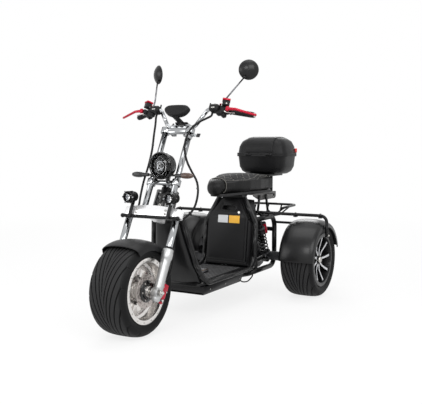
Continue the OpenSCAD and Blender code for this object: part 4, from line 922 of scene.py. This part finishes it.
class SCOOTER_OT_lamps(bpy.types.Operator):
    """Add the insides of the lamps, their rings and screws, the turn signals and the tail lamp"""

    bl_idname = "scooter.lamps"
    bl_label = "Lamps"

    def execute(self, context):
        self.headlamp()
        self.spots()
        self.signals()
        self.tail()
        return {"FINISHED"}

    def headlamp(self):
        """Rings, projector, light bars and short dashes behind the clear lens."""
        face = Matrix.Translation(LAMP_AT) @ spun(math.pi / 2, "Y")
        sections = (
            ([(66.4, -4), (64, -9), (56, -12.4), (45, -13.6)], 72, 2),
            ([(34.5, -13.4), (30, -12.6), (22, -11), (19.5, -8)], 48, 2),
            ([(74.3, -12), (75.6, -8), (75.4, -2), (73, 1.6), (69.5, 1.8), (67.8, -0.4)], 96, 0),
            ([(38.4, -5.6), (40, -4.8), (41.6, -5.6)], 64, 3),
            ([(60.6, -9.6), (61.6, -8.2), (63, -8.2), (63.8, -8.8)], 72, 3),
            ([(0, -3.6), (6, -4.2), (10, -6), (12, -8)], 40, 2),
            ([(12, -7.4), (13, -6.6), (15, -7)], 40, 3))
        parts = [(turned(rows, steps), face, number) for rows, steps, number in sections]
        for i, spot in enumerate(ring(4, 20.5, -6.2)):
            parts.append((block((7, 36 if i % 2 else 40, 3), 1.3), face @ spot, 1))
        for i in (-1, 0, 1):
            parts.append((block((13, 2.4, 3), 0.8), face @ spun(0.4 * i, "Z") @ moved(52, 0, -11.4), 3))
        finishes = ("gloss_black", "led_white", "screen_glass", "cast_alloy")
        piece("headlamp_inside", joined(parts), finishes, "steering")

    def spots(self):
        """Screws, bezels and lights of the two spot lamps."""
        screws, rings, lights = [], [], []
        bezel = [(24.4, 0.2), (25, 2.2), (27, 3), (30, 2), (31.4, 0)]
        bowl = [(23.8, -3.4), (19, -4.6), (11, -4.9), (0, -4.9)]
        bulb = [(0, 1.6), (3.4, 1.2), (5, 0)]
        for side in (1, -1):
            at = sided(side) @ Matrix.Translation(SPOT_AT) @ spun(math.pi / 2, "Y")
            for turn in (-90, 30, 150):
                screws.append((cap_screw(4.6, 4), at @ spun(math.radians(turn), "Z") @ moved(33, 0, 0)))
            rings.append((turned(bezel, 48), at))
            lights.append((turned(bowl, 36), at))
            lights += [(turned(bulb, 16), at @ spot, 1) for spot in ring(4, 10.5, -4.8, 0.5)]
        piece("spot_screws", joined(screws), "chrome", "steering")
        piece("spot_bezels", joined(rings), "powder_coat", "steering")
        # The bowls take the darker copy of chrome: a painted dark reflection
        piece("spot_lights", joined(lights), ("chrome_painted_dark", "led_white"), "steering")

    def signals(self):
        """Teardrop turn signals on their collars."""
        collar = [(6.2, -14), (9.2, -13), (9.8, -6), (10.6, 10), (13, 27), (13.4, 33)]
        drop = [(0, 26), (12.6, 27), (14.8, 34), (16.2, 50), (15.8, 66), (13.4, 82), (9, 93), (0, 98)]
        both = pair(FORK @ facing((8, 100, 642), LEFT))
        collars = joined([(turned(collar, 28), at) for at in both])
        piece("signal_collars", collars, "gloss_black", "steering")
        drops = joined([(turned(drop, 36), at) for at in both])
        made = piece("signal_drops", drops, "smoked_lens", "steering")
        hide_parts("turn_signals")

    def tail(self):
        """The tail lamp: a dark backing, a red lens and its ribs."""
        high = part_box("tail_lamp")[1] / MM
        x, z = high.x, high.z - 16
        parts = [(block((12, 112, 15), 4, 3), moved(x - 6, 0, z), 1),
                 (block((12, 106, 13), 5, 3), moved(x - 15, 0, z))]
        parts += [(block((2.2, 3, 11), 0.9), moved(x - 21, -44 + 11 * i, z)) for i in range(9)]
        made = piece("tail_lamp_bar", joined(parts), ("red_lens", "powder_coat"), "chassis")
        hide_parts("tail_lamp")


class SCOOTER_OT_controls(bpy.types.Operator):
    """Add the switch clusters, grip ribs, bar ends, screws, mirror glasses and display"""

    bl_idname = "scooter.controls"
    bl_label = "Controls"

    def execute(self, context):
        self.bar_ends()
        self.mirrors()
        self.pod()
        return {"FINISHED"}

    def bar_ends(self):
        """Clusters, ribs, end caps, switch keys and screws of both ends of the handlebar."""
        boxes, ribs, ends, keys, screws = [], [], [], [], []
        rib = [(15.8, -2.6), (17.0, -1.8), (17.3, 0), (17.0, 1.8), (15.8, 2.6)]
        end = [(0, 12), (8, 11.6), (13, 9.6), (15.2, 6), (15.6, 0), (8.4, 0)]
        switches = ((-15, -52, (12, 5, 9), 0), (-2, -45, (9, 6, 12), 1), (13, -45, (10, 5, 14), 0))
        screw_rows = ((3, 2, (-52, -40, -48), -AHEAD), (3, 2, (-52, -18, -16), -AHEAD),
                      (3.4, 3, (-16, -24, -54), -LEFT), (3.4, 3, (-16, -24, -36), -LEFT),
                      (6, 5, (26, -36, -21), AHEAD), (4.5, 4, (-20, -46, -30), -LEFT))
        for side in (1, -1):
            grip = grip_matrix(-130, side)
            ribs += [(turned(rib, 28), grip @ moved(0, 0, 18 + 7 * i)) for i in range(15)]
            ends.append((turned(end, 32), grip @ moved(0, 0, 130.2)))
            keys += [(block(size, 1.4), grip @ moved(x, 17.5, z), tone) for x, z, size, tone in switches]
            keys.append((block((5, 14, 10), 1.6), grip @ moved(42, 2, -33)))
            for r, height, place, way in screw_rows:
                screws.append((cap_screw(r, height), grip @ facing(place, way)))
            boxes += self.cluster(grip, FORK @ sided(side))
        finishes = ("matt_panel", "grey_bracket", "red_anodised", "zinc_bolt")
        made = piece("bar_clusters", joined(boxes), finishes, "steering")
        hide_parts("bar_controls")
        piece("grip_ribs", joined(ribs), "soft_rubber", "steering")
        piece("bar_ends", joined(ends), "zinc_bolt", "steering")
        piece("switch_keys", joined(keys), ("grey_pan", "red_anodised"), "steering")
        piece("control_screws", joined(screws), "zinc_bolt", "steering")

    def mirrors(self):
        """Domed glasses in narrow rims."""
        both = pair(Matrix.Translation(MIRROR_AT) @ spun(math.radians(30), "Z") @ spun(math.pi / 2, "Y"))
        glass = joined([(turned([(0, -8), (24, -7.6), (46, -6.3)], 64), at) for at in both])
        piece("mirror_glasses", glass, "mirror_glass", "steering")
        rim = [(46, -6.1), (47, -8.4), (50, -8.6), (52, -6), (52.8, -3)]
        rims = joined([(turned(rim, 64), at) for at in both])
        piece("mirror_rims", rims, "satin_panel", "steering")

    def cluster(self, grip, fork):
        """Parts of one bar end: switches, master cylinder, lever perch and mirror foot."""
        sleeve = [(11.5, -62), (17, -62), (19, -60), (19, -4), (17, -2), (11.5, -2)]
        parts = [(turned(sleeve, 40), grip)]
        for size, round_r, place in (((52, 40, 30), 9, (0, -4, -45)), ((28, 44.6, 28), 5, (12, -22.3, -22)),
                                     ((30, 34, 40), 5, (-27, -29, -32)), ((30, 34, 30), 9, (25, 1, -33))):
            parts.append((block(size, round_r, 4), grip @ moved(*place)))
        wire = [(-22, 268, 1046), (-24, 284, 1040), (-34, 306, 1041), (-42, 324, 1044)]
        return parts + [
            (block((54, 60, 42), 14, 5), fork @ moved(-38.5, 196, 1072)),
            (block((36, 40, 26), 9, 4), fork @ moved(-46, 228, 1049)),
            (block((10, 6, 38), 2.4, 3), fork @ moved(-30, 164, 1084)),
            (turned([(0, 14), (6, 14), (8, 12), (8, -6)], 24), fork @ moved(-56, 235, 1085.6)),
            (block((3, 30, 40), 1.2, 3), grip @ moved(-27, -4, -46), 2),
            (block((10, 15, 9), 2.4, 3), fork @ moved(-14, 204, 1084), 1),
            (block((8, 22, 7), 2.0, 3), fork @ moved(-13, 196, 1066), 3),
            (block((14, 18, 26), 3.0, 3), fork @ moved(-20, 285, 1060), 2),
            (hose(wire, 2.6, 8, 4), fork, 3)]

    def pod(self):
        """The display: a pod with soft corners and a screen, on a bracket over the bar's risers."""
        outline = [(-54, 34), (54, 34), (74, 22), (80, 4), (44, -32), (-44, -32), (-80, 4), (-74, 22)]
        for _ in range(3):
            ends = zip(outline, outline[1:] + outline[:1])
            outline = [(a[0] * k + b[0] * (1 - k), a[1] * k + b[1] * (1 - k))
                       for a, b in ends for k in (0.75, 0.25)]
        at = FORK @ moved(29, 0, 1021) @ Matrix(((0, 0, -1, 0), (-1, 0, 0, 0), (0, 1, 0, 0), (0, 0, 0, 1)))
        parts = [(self.pod_shell(outline), at)]
        for size, place in (((28, 80, 10), (-49.5, 0, 986.4)), ((86, 36, 10), (-6.5, 0, 986.4)),
                            ((24, 38, 28), (26, 0, 1002))):
            parts.append((block(size, 3, 3), FORK @ moved(*place)))
        for y in (-10, 10):
            parts.append((cap_screw(4, 3), FORK @ facing((38, y, 1000), AHEAD), 1))
        finishes = ("matt_panel", "zinc_bolt")
        made = piece("display_pod", joined(parts), finishes, "steering", 30)
        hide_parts("display")
        screen = plate([(0.70 * x, 0.70 * y) for x, y in outline], 1.2, 0.5)
        screen = joined([(screen, at @ moved(0, 0, 19.6))])
        piece("display_screen", screen, "screen_glass", "steering")

    def pod_shell(self, outline):
        """The pod's rounded shell: its outline swept over rows of [depth, size]."""
        rows = [(-20, 0.80), (-17, 0.92), (-12, 0.99), (-6, 1.03), (10, 1.03), (17, 0.98), (21, 0.90),
                (23, 0.80)]
        bm = bmesh.new()
        last = rows[0]
        face = bm.faces.new([bm.verts.new((x * last[1], y * last[1], -last[0])) for x, y in outline])
        for row in rows[1:]:
            made = bmesh.ops.extrude_face_region(bm, geom=[face])["geom"]
            verts = [v for v in made if isinstance(v, bmesh.types.BMVert)]
            face = next(f for f in made if isinstance(f, bmesh.types.BMFace))
            grow = row[1] / last[1]
            bmesh.ops.scale(bm, vec=(grow, grow, 1), verts=verts)
            bmesh.ops.translate(bm, vec=(0, 0, last[0] - row[0]), verts=verts)
            last = row
        bmesh.ops.recalc_face_normals(bm, faces=bm.faces)
        return bm


def merged_copy(node):
    """A welded bmesh of a carried-over solid, in metres."""
    bm = bmesh.new()
    bm.from_mesh(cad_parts[node].data)
    bmesh.ops.remove_doubles(bm, verts=bm.verts, dist=SAME_PLACE)
    return bm


# Half widths of the cushion, and how far inside them the quilting's border runs, in millimetres
CUSHION_HALF = [(-704.5, 112), (-680.5, 132), (-504.5, 138), (-374.5, 126), (-281, 104), (-201, 80),
                (-141, 64)]
BORDER_INSET = [(-704.5, 42), (-620, 36), (-505, 30), (-425, 14), (-340, 8), (-230, 8), (-141, 9)]
# Frames, pressure and stiffness of the seat's filling
FILL_FRAMES, FILL_PRESSURE, FILL_STIFFNESS = 20, 4.0, 25.0
# The cushion's foot and rear end are squared over these lengths in metres, by these powers
FOOT_RISE, FOOT_POWER, REAR_RUN, REAR_POWER = 0.05, 1.9, 0.06, 1.6
# Shares by which the cushion is widened towards its rear
REAR_WIDEN = [(-704.5, 1.16), (-680.5, 1.04), (-620, 1.0)]
# Least rise of the skin where it is sewn, widths of seam and channel, and slant and margin of the quilting
SEWN_UP, SEAM_W, CHANNEL_W, SLANT, MARGIN = 0.25, 0.0045, 0.0048, 0.8, 0.012


def along(rows, x):
    """Value at x, straight between rows of [x, value]."""
    for (x0, low), (x1, high) in zip(rows, rows[1:]):
        if x <= x1:
            return low + (high - low) * max(0.0, (x - x0) / (x1 - x0))
    return rows[-1][1]


def cushion_side(co):
    """Distance inside the seat's wavy border, seen from above; negative outside. In metres."""
    x = co.x / MM
    return (along(CUSHION_HALF, x) - along(BORDER_INSET, x)) * MM - abs(co.y)


class SCOOTER_OT_seat(bpy.types.Operator):
    """Fill the seat's nose and quilted cushion by cloth pressure, then sew them"""

    bl_idname = "scooter.seat"
    bl_label = "Seat"

    def execute(self, context):
        sew = settings().seat
        cushion = self.padding("seat_cushion", "seat_cover", 0.0055, sew.swell)
        self.quilt(cushion, sew.pitch, sew.channel)
        nose = self.padding("seat_nose", "seat_nose_cover", 0.005, sew.swell * 0.6)
        self.stitches(cushion)
        self.piping()
        return {"FINISHED"}

    def padding(self, node, name, voxel, swell):
        """A solid's copy, a little smaller, remeshed and swollen by pressure."""
        bm = merged_copy(node)
        low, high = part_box(node)
        middle = (low + high) / 2
        keep = Vector(1 - 2 * 0.45 * swell / side for side in high - low)
        bmesh.ops.translate(bm, vec=-middle, verts=bm.verts)
        bmesh.ops.scale(bm, vec=keep, verts=bm.verts)
        bmesh.ops.translate(bm, vec=middle, verts=bm.verts)
        if node == "seat_nose":
            bmesh.ops.scale(bm, vec=(0.86, 1, 1), space=moved(-SEAM_X * MM, 0, 0), verts=bm.verts)
        made = piece(name, bm, "leather", "chassis", 60, 1.0)
        shape = made.modifiers.new("Even faces", "REMESH")
        shape.mode, shape.voxel_size = "VOXEL", voxel
        self.apply(made)
        rest = [v.co.copy() for v in made.data.vertices]
        cloth = made.modifiers.new("Filling", "CLOTH")
        cloth.settings.use_pressure = True
        cloth.settings.uniform_pressure_force = FILL_PRESSURE
        cloth.settings.effector_weights.gravity = 0.0
        cloth.settings.tension_stiffness = cloth.settings.compression_stiffness = FILL_STIFFNESS
        cloth.point_cache.frame_start, cloth.point_cache.frame_end = 1, FILL_FRAMES
        for number in range(1, FILL_FRAMES + 1):
            bpy.context.scene.frame_set(number)
        self.apply(made)
        bpy.context.scene.frame_set(1)
        self.settle(made, node, rest, swell)
        finer = made.modifiers.new("Finer", "SUBSURF")
        finer.levels = finer.render_levels = 1
        self.apply(made)
        made.data.shade_smooth()
        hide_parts(node)
        return made

    def settle(self, made, node, rest, swell):
        """Limits the swelling, squares the cushion's foot and rear end and keeps the pan's top clear."""
        floor, pan_end, rear = (SEAT_Z + 16.3) * MM, (SEAM_X + 29) * MM, SEAT_REAR * MM
        for v, start in zip(made.data.vertices, rest):
            way = v.co - start
            if way.length > swell:
                v.co = start + way * (swell / way.length)
            if node == "seat_cushion":
                foot, end = (v.co.z - floor) / FOOT_RISE, (v.co.x - rear) / REAR_RUN
                v.co.y *= along(REAR_WIDEN, v.co.x / MM)
                if 0 < foot < 1:
                    v.co.z = floor + FOOT_RISE * foot ** FOOT_POWER
                if 0 < end < 1:
                    v.co.x = rear + REAR_RUN * end ** REAR_POWER
            if v.co.x < pan_end:
                v.co.z = max(v.co.z, floor)

    def apply(self, made):
        """Bakes an object's modifiers into its mesh."""
        bpy.context.view_layer.update()
        seen = made.evaluated_get(bpy.context.evaluated_depsgraph_get())
        baked = bpy.data.meshes.new_from_object(seen)
        made.modifiers.clear()
        old, made.data = made.data, baked
        bpy.data.meshes.remove(old)

    def quilt(self, made, pitch, depth):
        """Sews diamond channels into the top, and a border seam round them."""
        mesh = made.data
        normals = [v.normal.copy() for v in mesh.vertices]
        for v, normal in zip(mesh.vertices, normals):
            inside, up = cushion_side(v.co), normal.z
            if up < SEWN_UP:
                continue
            seam = depth * 1.5 * math.exp(-((inside / SEAM_W) ** 2))
            sewn = 0.0
            if inside > 0:
                across = (v.co.x * SLANT + v.co.y) / pitch, (v.co.x * SLANT - v.co.y) / pitch
                near = min(from_whole(a) for a in across) * pitch
                sewn = depth * math.exp(-((near / CHANNEL_W) ** 2)) * min(1.0, inside / MARGIN)
            v.co -= normal * max(seam, sewn) * min(1.0, (up - SEWN_UP) / 0.3)
        mesh.update()
        mesh.materials.append(FINISHES["seat_cloth"])
        for face in mesh.polygons:
            if face.normal.z > SEWN_UP and cushion_side(face.center) > 0:
                face.material_index = 1

    def stitches(self, made):
        """Short threads along both sides of the border seam and in the channels."""
        bm, cover = bmesh.new(), bmesh.new()
        cover.from_mesh(made.data)
        skin = BVHTree.FromBMesh(cover)
        cover.free()
        for side in (-1, 1):
            for offset in (0.0075, -0.0065):
                self.row(bm, skin, [self.border_point(i / 150, side, offset) for i in range(151)])
        pitch = settings().seat.pitch
        for number in range(-11, 0):
            for side in (-1, 1):
                steps = [0.0045 * i for i in range(-28, 29)]
                line = [Vector(((number * pitch - side * y) / SLANT, y)) for y in steps]
                line = [p for p in line if SEAT_REAR + 30 < p.x / MM < SEAM_X - 10]
                self.row(bm, skin, [p for p in line if cushion_side(p) > MARGIN])
        piece("seat_stitches", bm, "thread", "chassis", 60, 1.0)

    def border_point(self, t, side, offset):
        """A point seen from above beside the border seam; t runs from 0 at the rear to 1."""
        x = SEAT_REAR * MM + 0.03 + t * ((SEAM_X - SEAT_REAR) * MM - 0.042)
        return Vector((x, side * (cushion_side(Vector((x, 0, 0))) - offset)))

    def row(self, bm, skin, points):
        """One line of threads on the skin under the points."""
        places = []
        for p in points:
            at, normal, _, _ = skin.ray_cast((p.x, p.y, 1.2), (0, 0, -1))
            if at and normal.z > SEWN_UP:
                places.append((at, normal))
        for (a, n), (b, _) in list(zip(places, places[1:]))[::2]:
            if 0.001 < (b - a).length < 0.012:
                way = (b - a).normalized()
                side = n.cross(way)
                turn = Matrix((way, side.normalized(), way.cross(side).normalized())).transposed().to_4x4()
                thread = block(((b - a).length * 0.92, 0.0016, 0.0012), 0.0004, 1)
                add(bm, thread, Matrix.Translation((a + b) / 2 + n * 0.0002) @ turn)

    def piping(self):
        """The pale cord sewn in behind the seat's nose."""
        arch = []
        for i in range(33):
            a = math.radians(-52 + 284 * i / 32)
            y, z = (math.copysign(abs(c) ** 0.8, c) for c in (math.cos(a), math.sin(a)))
            arch.append((SEAM_X + 0.5, 63.6 * y, SEAT_Z + 65 + 49 * z))
        piece("seat_nose_piping", hose(arch, 2.6, 8, 2), "piping", "chassis", 60)


class SCOOTER_OT_body(bpy.types.Operator):
    """Add the body's label, slot surround, locks, ridges, screws and small fittings"""

    bl_idname = "scooter.body"
    bl_label = "Body trim"

    def execute(self, context):
        self.battery()
        self.locks()
        self.ridges()
        self.fittings()
        return {"FINISHED"}

    def battery(self):
        """The blank two-tone sticker, and the surround of the hand slot."""
        face = BOX @ moved(0, 0, 78.1)
        stickers = joined([
            (plate([(-69, 266), (2, 266), (2, 314), (-69, 314)], 0.7, 0.3), face),
            (plate([(10, 266), (85, 266), (85, 314), (10, 314)], 0.7, 0.3), face, 1)])
        piece("battery_label", stickers, ("label_grey", "label_yellow"), "chassis")
        oval = []
        for i in range(33):
            a = math.tau * i / 32
            x, y = math.copysign(34, math.cos(a)) + 18 * math.cos(a), BOX_H - 70 + 18 * math.sin(a)
            oval.append((x, y, 78.4 - 35 * max(0.0, y - 318) / 118))
        surround = joined([(hose(oval, 3.4, 10, 3), BOX)])
        piece("hand_slot_surround", surround, "satin_panel", "chassis")

    def locks(self):
        """Round locks with key slots, on the battery and on the neck."""
        battery = BOX @ moved(78, BOX_H - 98, 76)
        neck = FORK @ facing((-45.5, 0, 486), AHEAD)
        locks = joined([
            (turned([(0, 1.4), (5.4, 1.4), (6.2, 2.6), (9, 2.2), (10, 0), (10, -4)], 32), battery),
            (block((1.6, 7, 1.2), 0.3), battery @ moved(0, 0, 1.4), 1),
            (turned([(0, 3), (6, 3), (7, 5), (10, 4.4), (10.8, 0), (10.8, -4)], 32), neck),
            (block((1.8, 8, 1.4), 0.3), neck @ moved(0, 0, 3.2), 1)])
        piece("locks", locks, ("zinc_bolt", "dark_steel"), "chassis")

    def ridges(self):
        """Two raised lines along each edge band."""
        path = smooth_path([
            (416, 90, 575), (384, 115, 445), (352, 140, 315), (338, 153, 272), (318, 168, 226),
            (285, 178, 206), (200, 178, 205), (0, 178, 205), (-200, 178, 205), (-262, 178, 208),
            (-290, 178.4, 232), (-300, 179, 300), (-308, 179.6, 390), (-314.5, 179.6, 442),
            (-317.5, 177, 466), (-320, 170, 488), (-327, 130, 561), (-334.5, 88, 638)], 5)
        parts = []
        for lift in (5.6, -5.6):
            line = []
            for i, p in enumerate(path):
                way = (path[min(i + 1, len(path) - 1)] - path[max(i - 1, 0)]).normalized()
                out = (LEFT - way * way.y).normalized()
                line.append(p + out * 12.8 + way.cross(out) * lift)
            parts += [(hose(line, 3.2, 8, 1), side) for side in pair(Matrix.Identity(4))]
        piece("band_ridges", joined(parts), "satin_panel", "chassis")

    def fittings(self):
        """Panel screws, the cable's fitting under the floor and the latch's bronze edge."""
        screws = []
        for side in (-1, 1):
            for x, y, z in ((410, 70, 470), (378, 94, 350)):
                screws.append((cap_screw(4, 2.4), facing((x, side * y, z), (1, 0.2 * side, 0.3))))
            for x in (-120, 60, 240):
                screws.append((cap_screw(4, 2.4), facing((x, side * 166.6, 161), (0, side, -0.42))))
        piece("panel_screws", joined(screws), "zinc_bolt", "chassis")
        plug = [(0, 0), (5, 0), (6, 2), (6, 16), (4.6, 18), (4.6, 24), (3, 26)]
        plug = joined([(turned(plug, 20), facing((-306, 161, 163), (0.2, 0.1, 1)))])
        piece("cable_fitting", plug, "zinc_bolt", "chassis")
        low, high = (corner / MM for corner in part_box("floor_latch"))
        strip = block((high.x - low.x - 8, 3, 3), 0.9)
        strip = joined([(strip, moved((low.x + high.x) / 2, high.y - 1.6, high.z - 0.6))])
        piece("latch_edge", strip, "bronze", "chassis")


class SCOOTER_OT_rear(bpy.types.Operator):
    """Build the dampers with their springs, the mudguards' bolts and clamps, and what is under the seat"""

    bl_idname = "scooter.rear"
    bl_label = "Rear end"

    def execute(self, context):
        parts = []
        for at in pair(facing(SHOCK_FOOT, SHOCK_HEAD - SHOCK_FOOT)):
            parts += self.damper(at, (SHOCK_HEAD - SHOCK_FOOT).length)
        # The rods take the darker copy of chrome: a painted dark reflection
        finishes = ("powder_coat", "chrome_painted_dark", "dark_steel", "red_anodised")
        made = piece("rear_dampers", joined(parts), finishes, "chassis")
        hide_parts("rear_shocks")
        bolts, clamps = [], []
        for side in (-1, 1):
            for y in (356, 526):
                clamps.append((block((26, 22, 7), 2.0), moved(-539.5, side * y, 513)))
                bolts.append((hex_nut(6, 5), facing((-539.5, side * y, 536.2), UP)))
            bolts.append((hex_nut(7, 6), facing((-539.5, side * 579, 402), LEFT * side)))
        piece("rail_clamps", joined(clamps), "powder_coat", "chassis")
        piece("rail_bolts", joined(bolts), "zinc_bolt", "chassis")
        lead = hose([(-352, 118, 330), (-372, 128, 352), (-398, 134, 372), (-420, 132, 402), (-432, 130, 440),
                     (-438, 134, 470)], 3.2)
        piece("red_lead", lead, "red_wire", "chassis")
        electrics = joined([(block((118, 236, 138), 10, 3), moved(-492, 0, 402))])
        piece("electrics_box", electrics, "matt_panel", "chassis")
        base = joined([(block((60, 160, 19.6), 4, 3), moved(-352, 0, SEAT_Z - 10))])
        piece("seat_base", base, "powder_coat", "chassis")
        return {"FINISHED"}

    def damper(self, at, length):
        """Parts of one damper along Z: eyes with nuts, rod, body, spring and the reservoir behind it."""
        parts = []
        eye = [(5, -13), (11.6, -13), (12, -11), (12, 11), (11.6, 13), (5, 13)]
        plate_rows = [(9, 0), (28, 0), (31, 2), (31, 6), (28, 8), (9, 8)]
        for z in (0, length):
            level = Matrix.Translation((at @ moved(0, 0, z)).translation) @ spun(math.pi / 2, "X")
            parts.append((turned(eye, 28), level))
            parts += [(hex_nut(7, 5), level @ spun(turn, "X") @ moved(0, 0, 13), 2) for turn in (0, math.pi)]
        parts.append((turned([(7.6, 8), (7.6, 150)], 24), at, 1))
        parts.append((turned([(0, 120), (15, 120), (15, length - 14), (8, length - 8)], 32), at))
        rib = [(15, -2), (16.2, 0), (15, 2)]
        parts += [(turned(rib, 32), at @ moved(0, 0, length - 70 + 5 * i), 2) for i in range(5)]
        parts += [(turned(plate_rows, 40), at @ moved(0, 0, z), 2) for z in (38, length - 40)]
        parts.append((self.spring(46, length - 40, 24.5, 4.4, 7.2), at))
        away = at @ Matrix.Translation(self.behind(at))
        foot, head = length - 97, length - 30
        parts.append((turned([(0, foot - 5), (13, foot - 5), (15.4, foot - 3), (15.4, foot)], 32), away))
        parts.append((turned([(15.8, foot), (15.8, head)], 32), away, 3))
        parts.append((turned([(15.4, head), (15.4, head + 4), (12, head + 8), (0, head + 8)], 32), away))
        outlet = at.inverted() @ (away @ Vector((0, 0, length - 40)))
        parts.append((hose([outlet, (0, 0, length - 34)], 6, 10, 4), at, 2))
        return parts

    def behind(self, at):
        """From a damper's axis to its reservoir's, towards the rear, in the damper's own frame."""
        way = at.to_3x3().inverted() @ Vector((-0.917, 0, 0.398))
        return way.normalized() * 55

    def spring(self, low, high, radius, wire, turns):
        """A coil of round wire, spun with a rise."""
        bm = bmesh.new()
        section = bmesh.ops.create_circle(bm, cap_ends=False, segments=10, radius=wire)["verts"]
        bmesh.ops.transform(bm, matrix=moved(radius, 0, low) @ spun(math.pi / 2, "X"), verts=section)
        steps = int(turns * 28)
        bmesh.ops.spin(bm, geom=bm.verts[:] + bm.edges[:], cent=(0, 0, 0), axis=UP,
                       dvec=(0, 0, (high - low) / steps), angle=math.tau * turns, steps=steps)
        bmesh.ops.holes_fill(bm, edges=[e for e in bm.edges if e.is_boundary], sides=0)
        bmesh.ops.recalc_face_normals(bm, faces=bm.faces)
        return bm


class SCOOTER_OT_case(bpy.types.Operator):
    """Add the top case's reflectors, lock, hasp and hinge pins"""

    bl_idname = "scooter.case"
    bl_label = "Top case"

    def execute(self, context):
        shell = merged_copy("case_lid")
        skin = BVHTree.FromBMesh(shell)
        shell.free()
        reflectors, pins = [], []
        pin = [(0, 23), (3.4, 23), (4, 21), (4, -21), (3.4, -23), (0, -23)]
        for side in (-1, 1):
            out = Vector((-0.52, 0.854 * side, 0))
            at, normal, _, _ = skin.ray_cast(Vector((CASE_X, 0, SEAM_Z + 27)) * MM + out, -out)
            on_skin = facing(at / MM, Vector((normal.x, normal.y, 0)))
            reflectors.append((block((46, 30, 16), 4.0, 3), on_skin @ moved(0, 0, 4)))
            hinge = moved(CASE_X + CASE_A + 14, side * 78, SEAM_Z)
            pins.append((turned(pin, 18), hinge @ spun(math.pi / 2, "X")))
        piece("case_reflectors", joined(reflectors), "red_lens", "case_top")
        rear = CASE_X - CASE_A
        barrel = [(0, 1.2), (7, 1.2), (8, 2.4), (11, 1.6), (12, 0)]
        lock = joined([(block((9, 62, 34), 3.0), moved(rear - 9.5, 0, 884)),
                       (turned(barrel, 28), facing((rear - 14, 0, 884), -AHEAD), 1)])
        piece("case_lock", lock, ("satin_panel", "chrome"), "chassis")
        hasp = joined([(block((6, 46, 18), 2.4), moved(rear - 11, 0, 917))])
        piece("case_hasp", hasp, "satin_panel", "case_top")
        piece("hinge_pins", joined(pins), "dark_steel", "chassis")
        return {"FINISHED"}


OPERATORS = [SCOOTER_OT_stage, SCOOTER_OT_solids, SCOOTER_OT_tyres, SCOOTER_OT_wheels, SCOOTER_OT_fork,
             SCOOTER_OT_lamps, SCOOTER_OT_controls, SCOOTER_OT_seat, SCOOTER_OT_body, SCOOTER_OT_rear,
             SCOOTER_OT_case]


class ScooterLooks(bpy.types.PropertyGroup):
    """All settings of the scooter's looks."""

    finishes: bpy.props.PointerProperty(
        name="Finishes", description="Colours of the finishes", type=FinishSettings)
    tyres: bpy.props.PointerProperty(name="Tyres", description="Tread of the tyres", type=TyreSettings)
    seat: bpy.props.PointerProperty(name="Seat", description="Padding of the seat", type=SeatSettings)
    stage: bpy.props.PointerProperty(name="Stage", description="Camera and light", type=StageSettings)


class SCOOTER_PT_looks(bpy.types.Panel):
    """Lists the scooter's settings and steps"""

    bl_idname = "SCOOTER_PT_looks"
    bl_label = "Scooter looks"
    bl_space_type = "VIEW_3D"
    bl_region_type = "UI"
    bl_category = "Scooter"

    def draw(self, context):
        for group in (settings().finishes, settings().tyres, settings().seat, settings().stage):
            box = self.layout.box()
            for name in group.__annotations__:
                box.prop(group, name)
        for step in OPERATORS:
            self.layout.operator(step.bl_idname)


CLASSES = [FinishSettings, TyreSettings, SeatSettings, StageSettings, ScooterLooks, *OPERATORS,
           SCOOTER_PT_looks]


def register():
    for item in CLASSES:
        bpy.utils.register_class(item)
    bpy.types.Scene.scooter_looks = bpy.props.PointerProperty(type=ScooterLooks)


def unregister():
    del bpy.types.Scene.scooter_looks
    for item in reversed(CLASSES):
        bpy.utils.unregister_class(item)


def main():
    register()
    for step in OPERATORS:
        group, name = step.bl_idname.split(".")
        getattr(getattr(bpy.ops, group), name)()


if __name__ == "__main__":
    main()
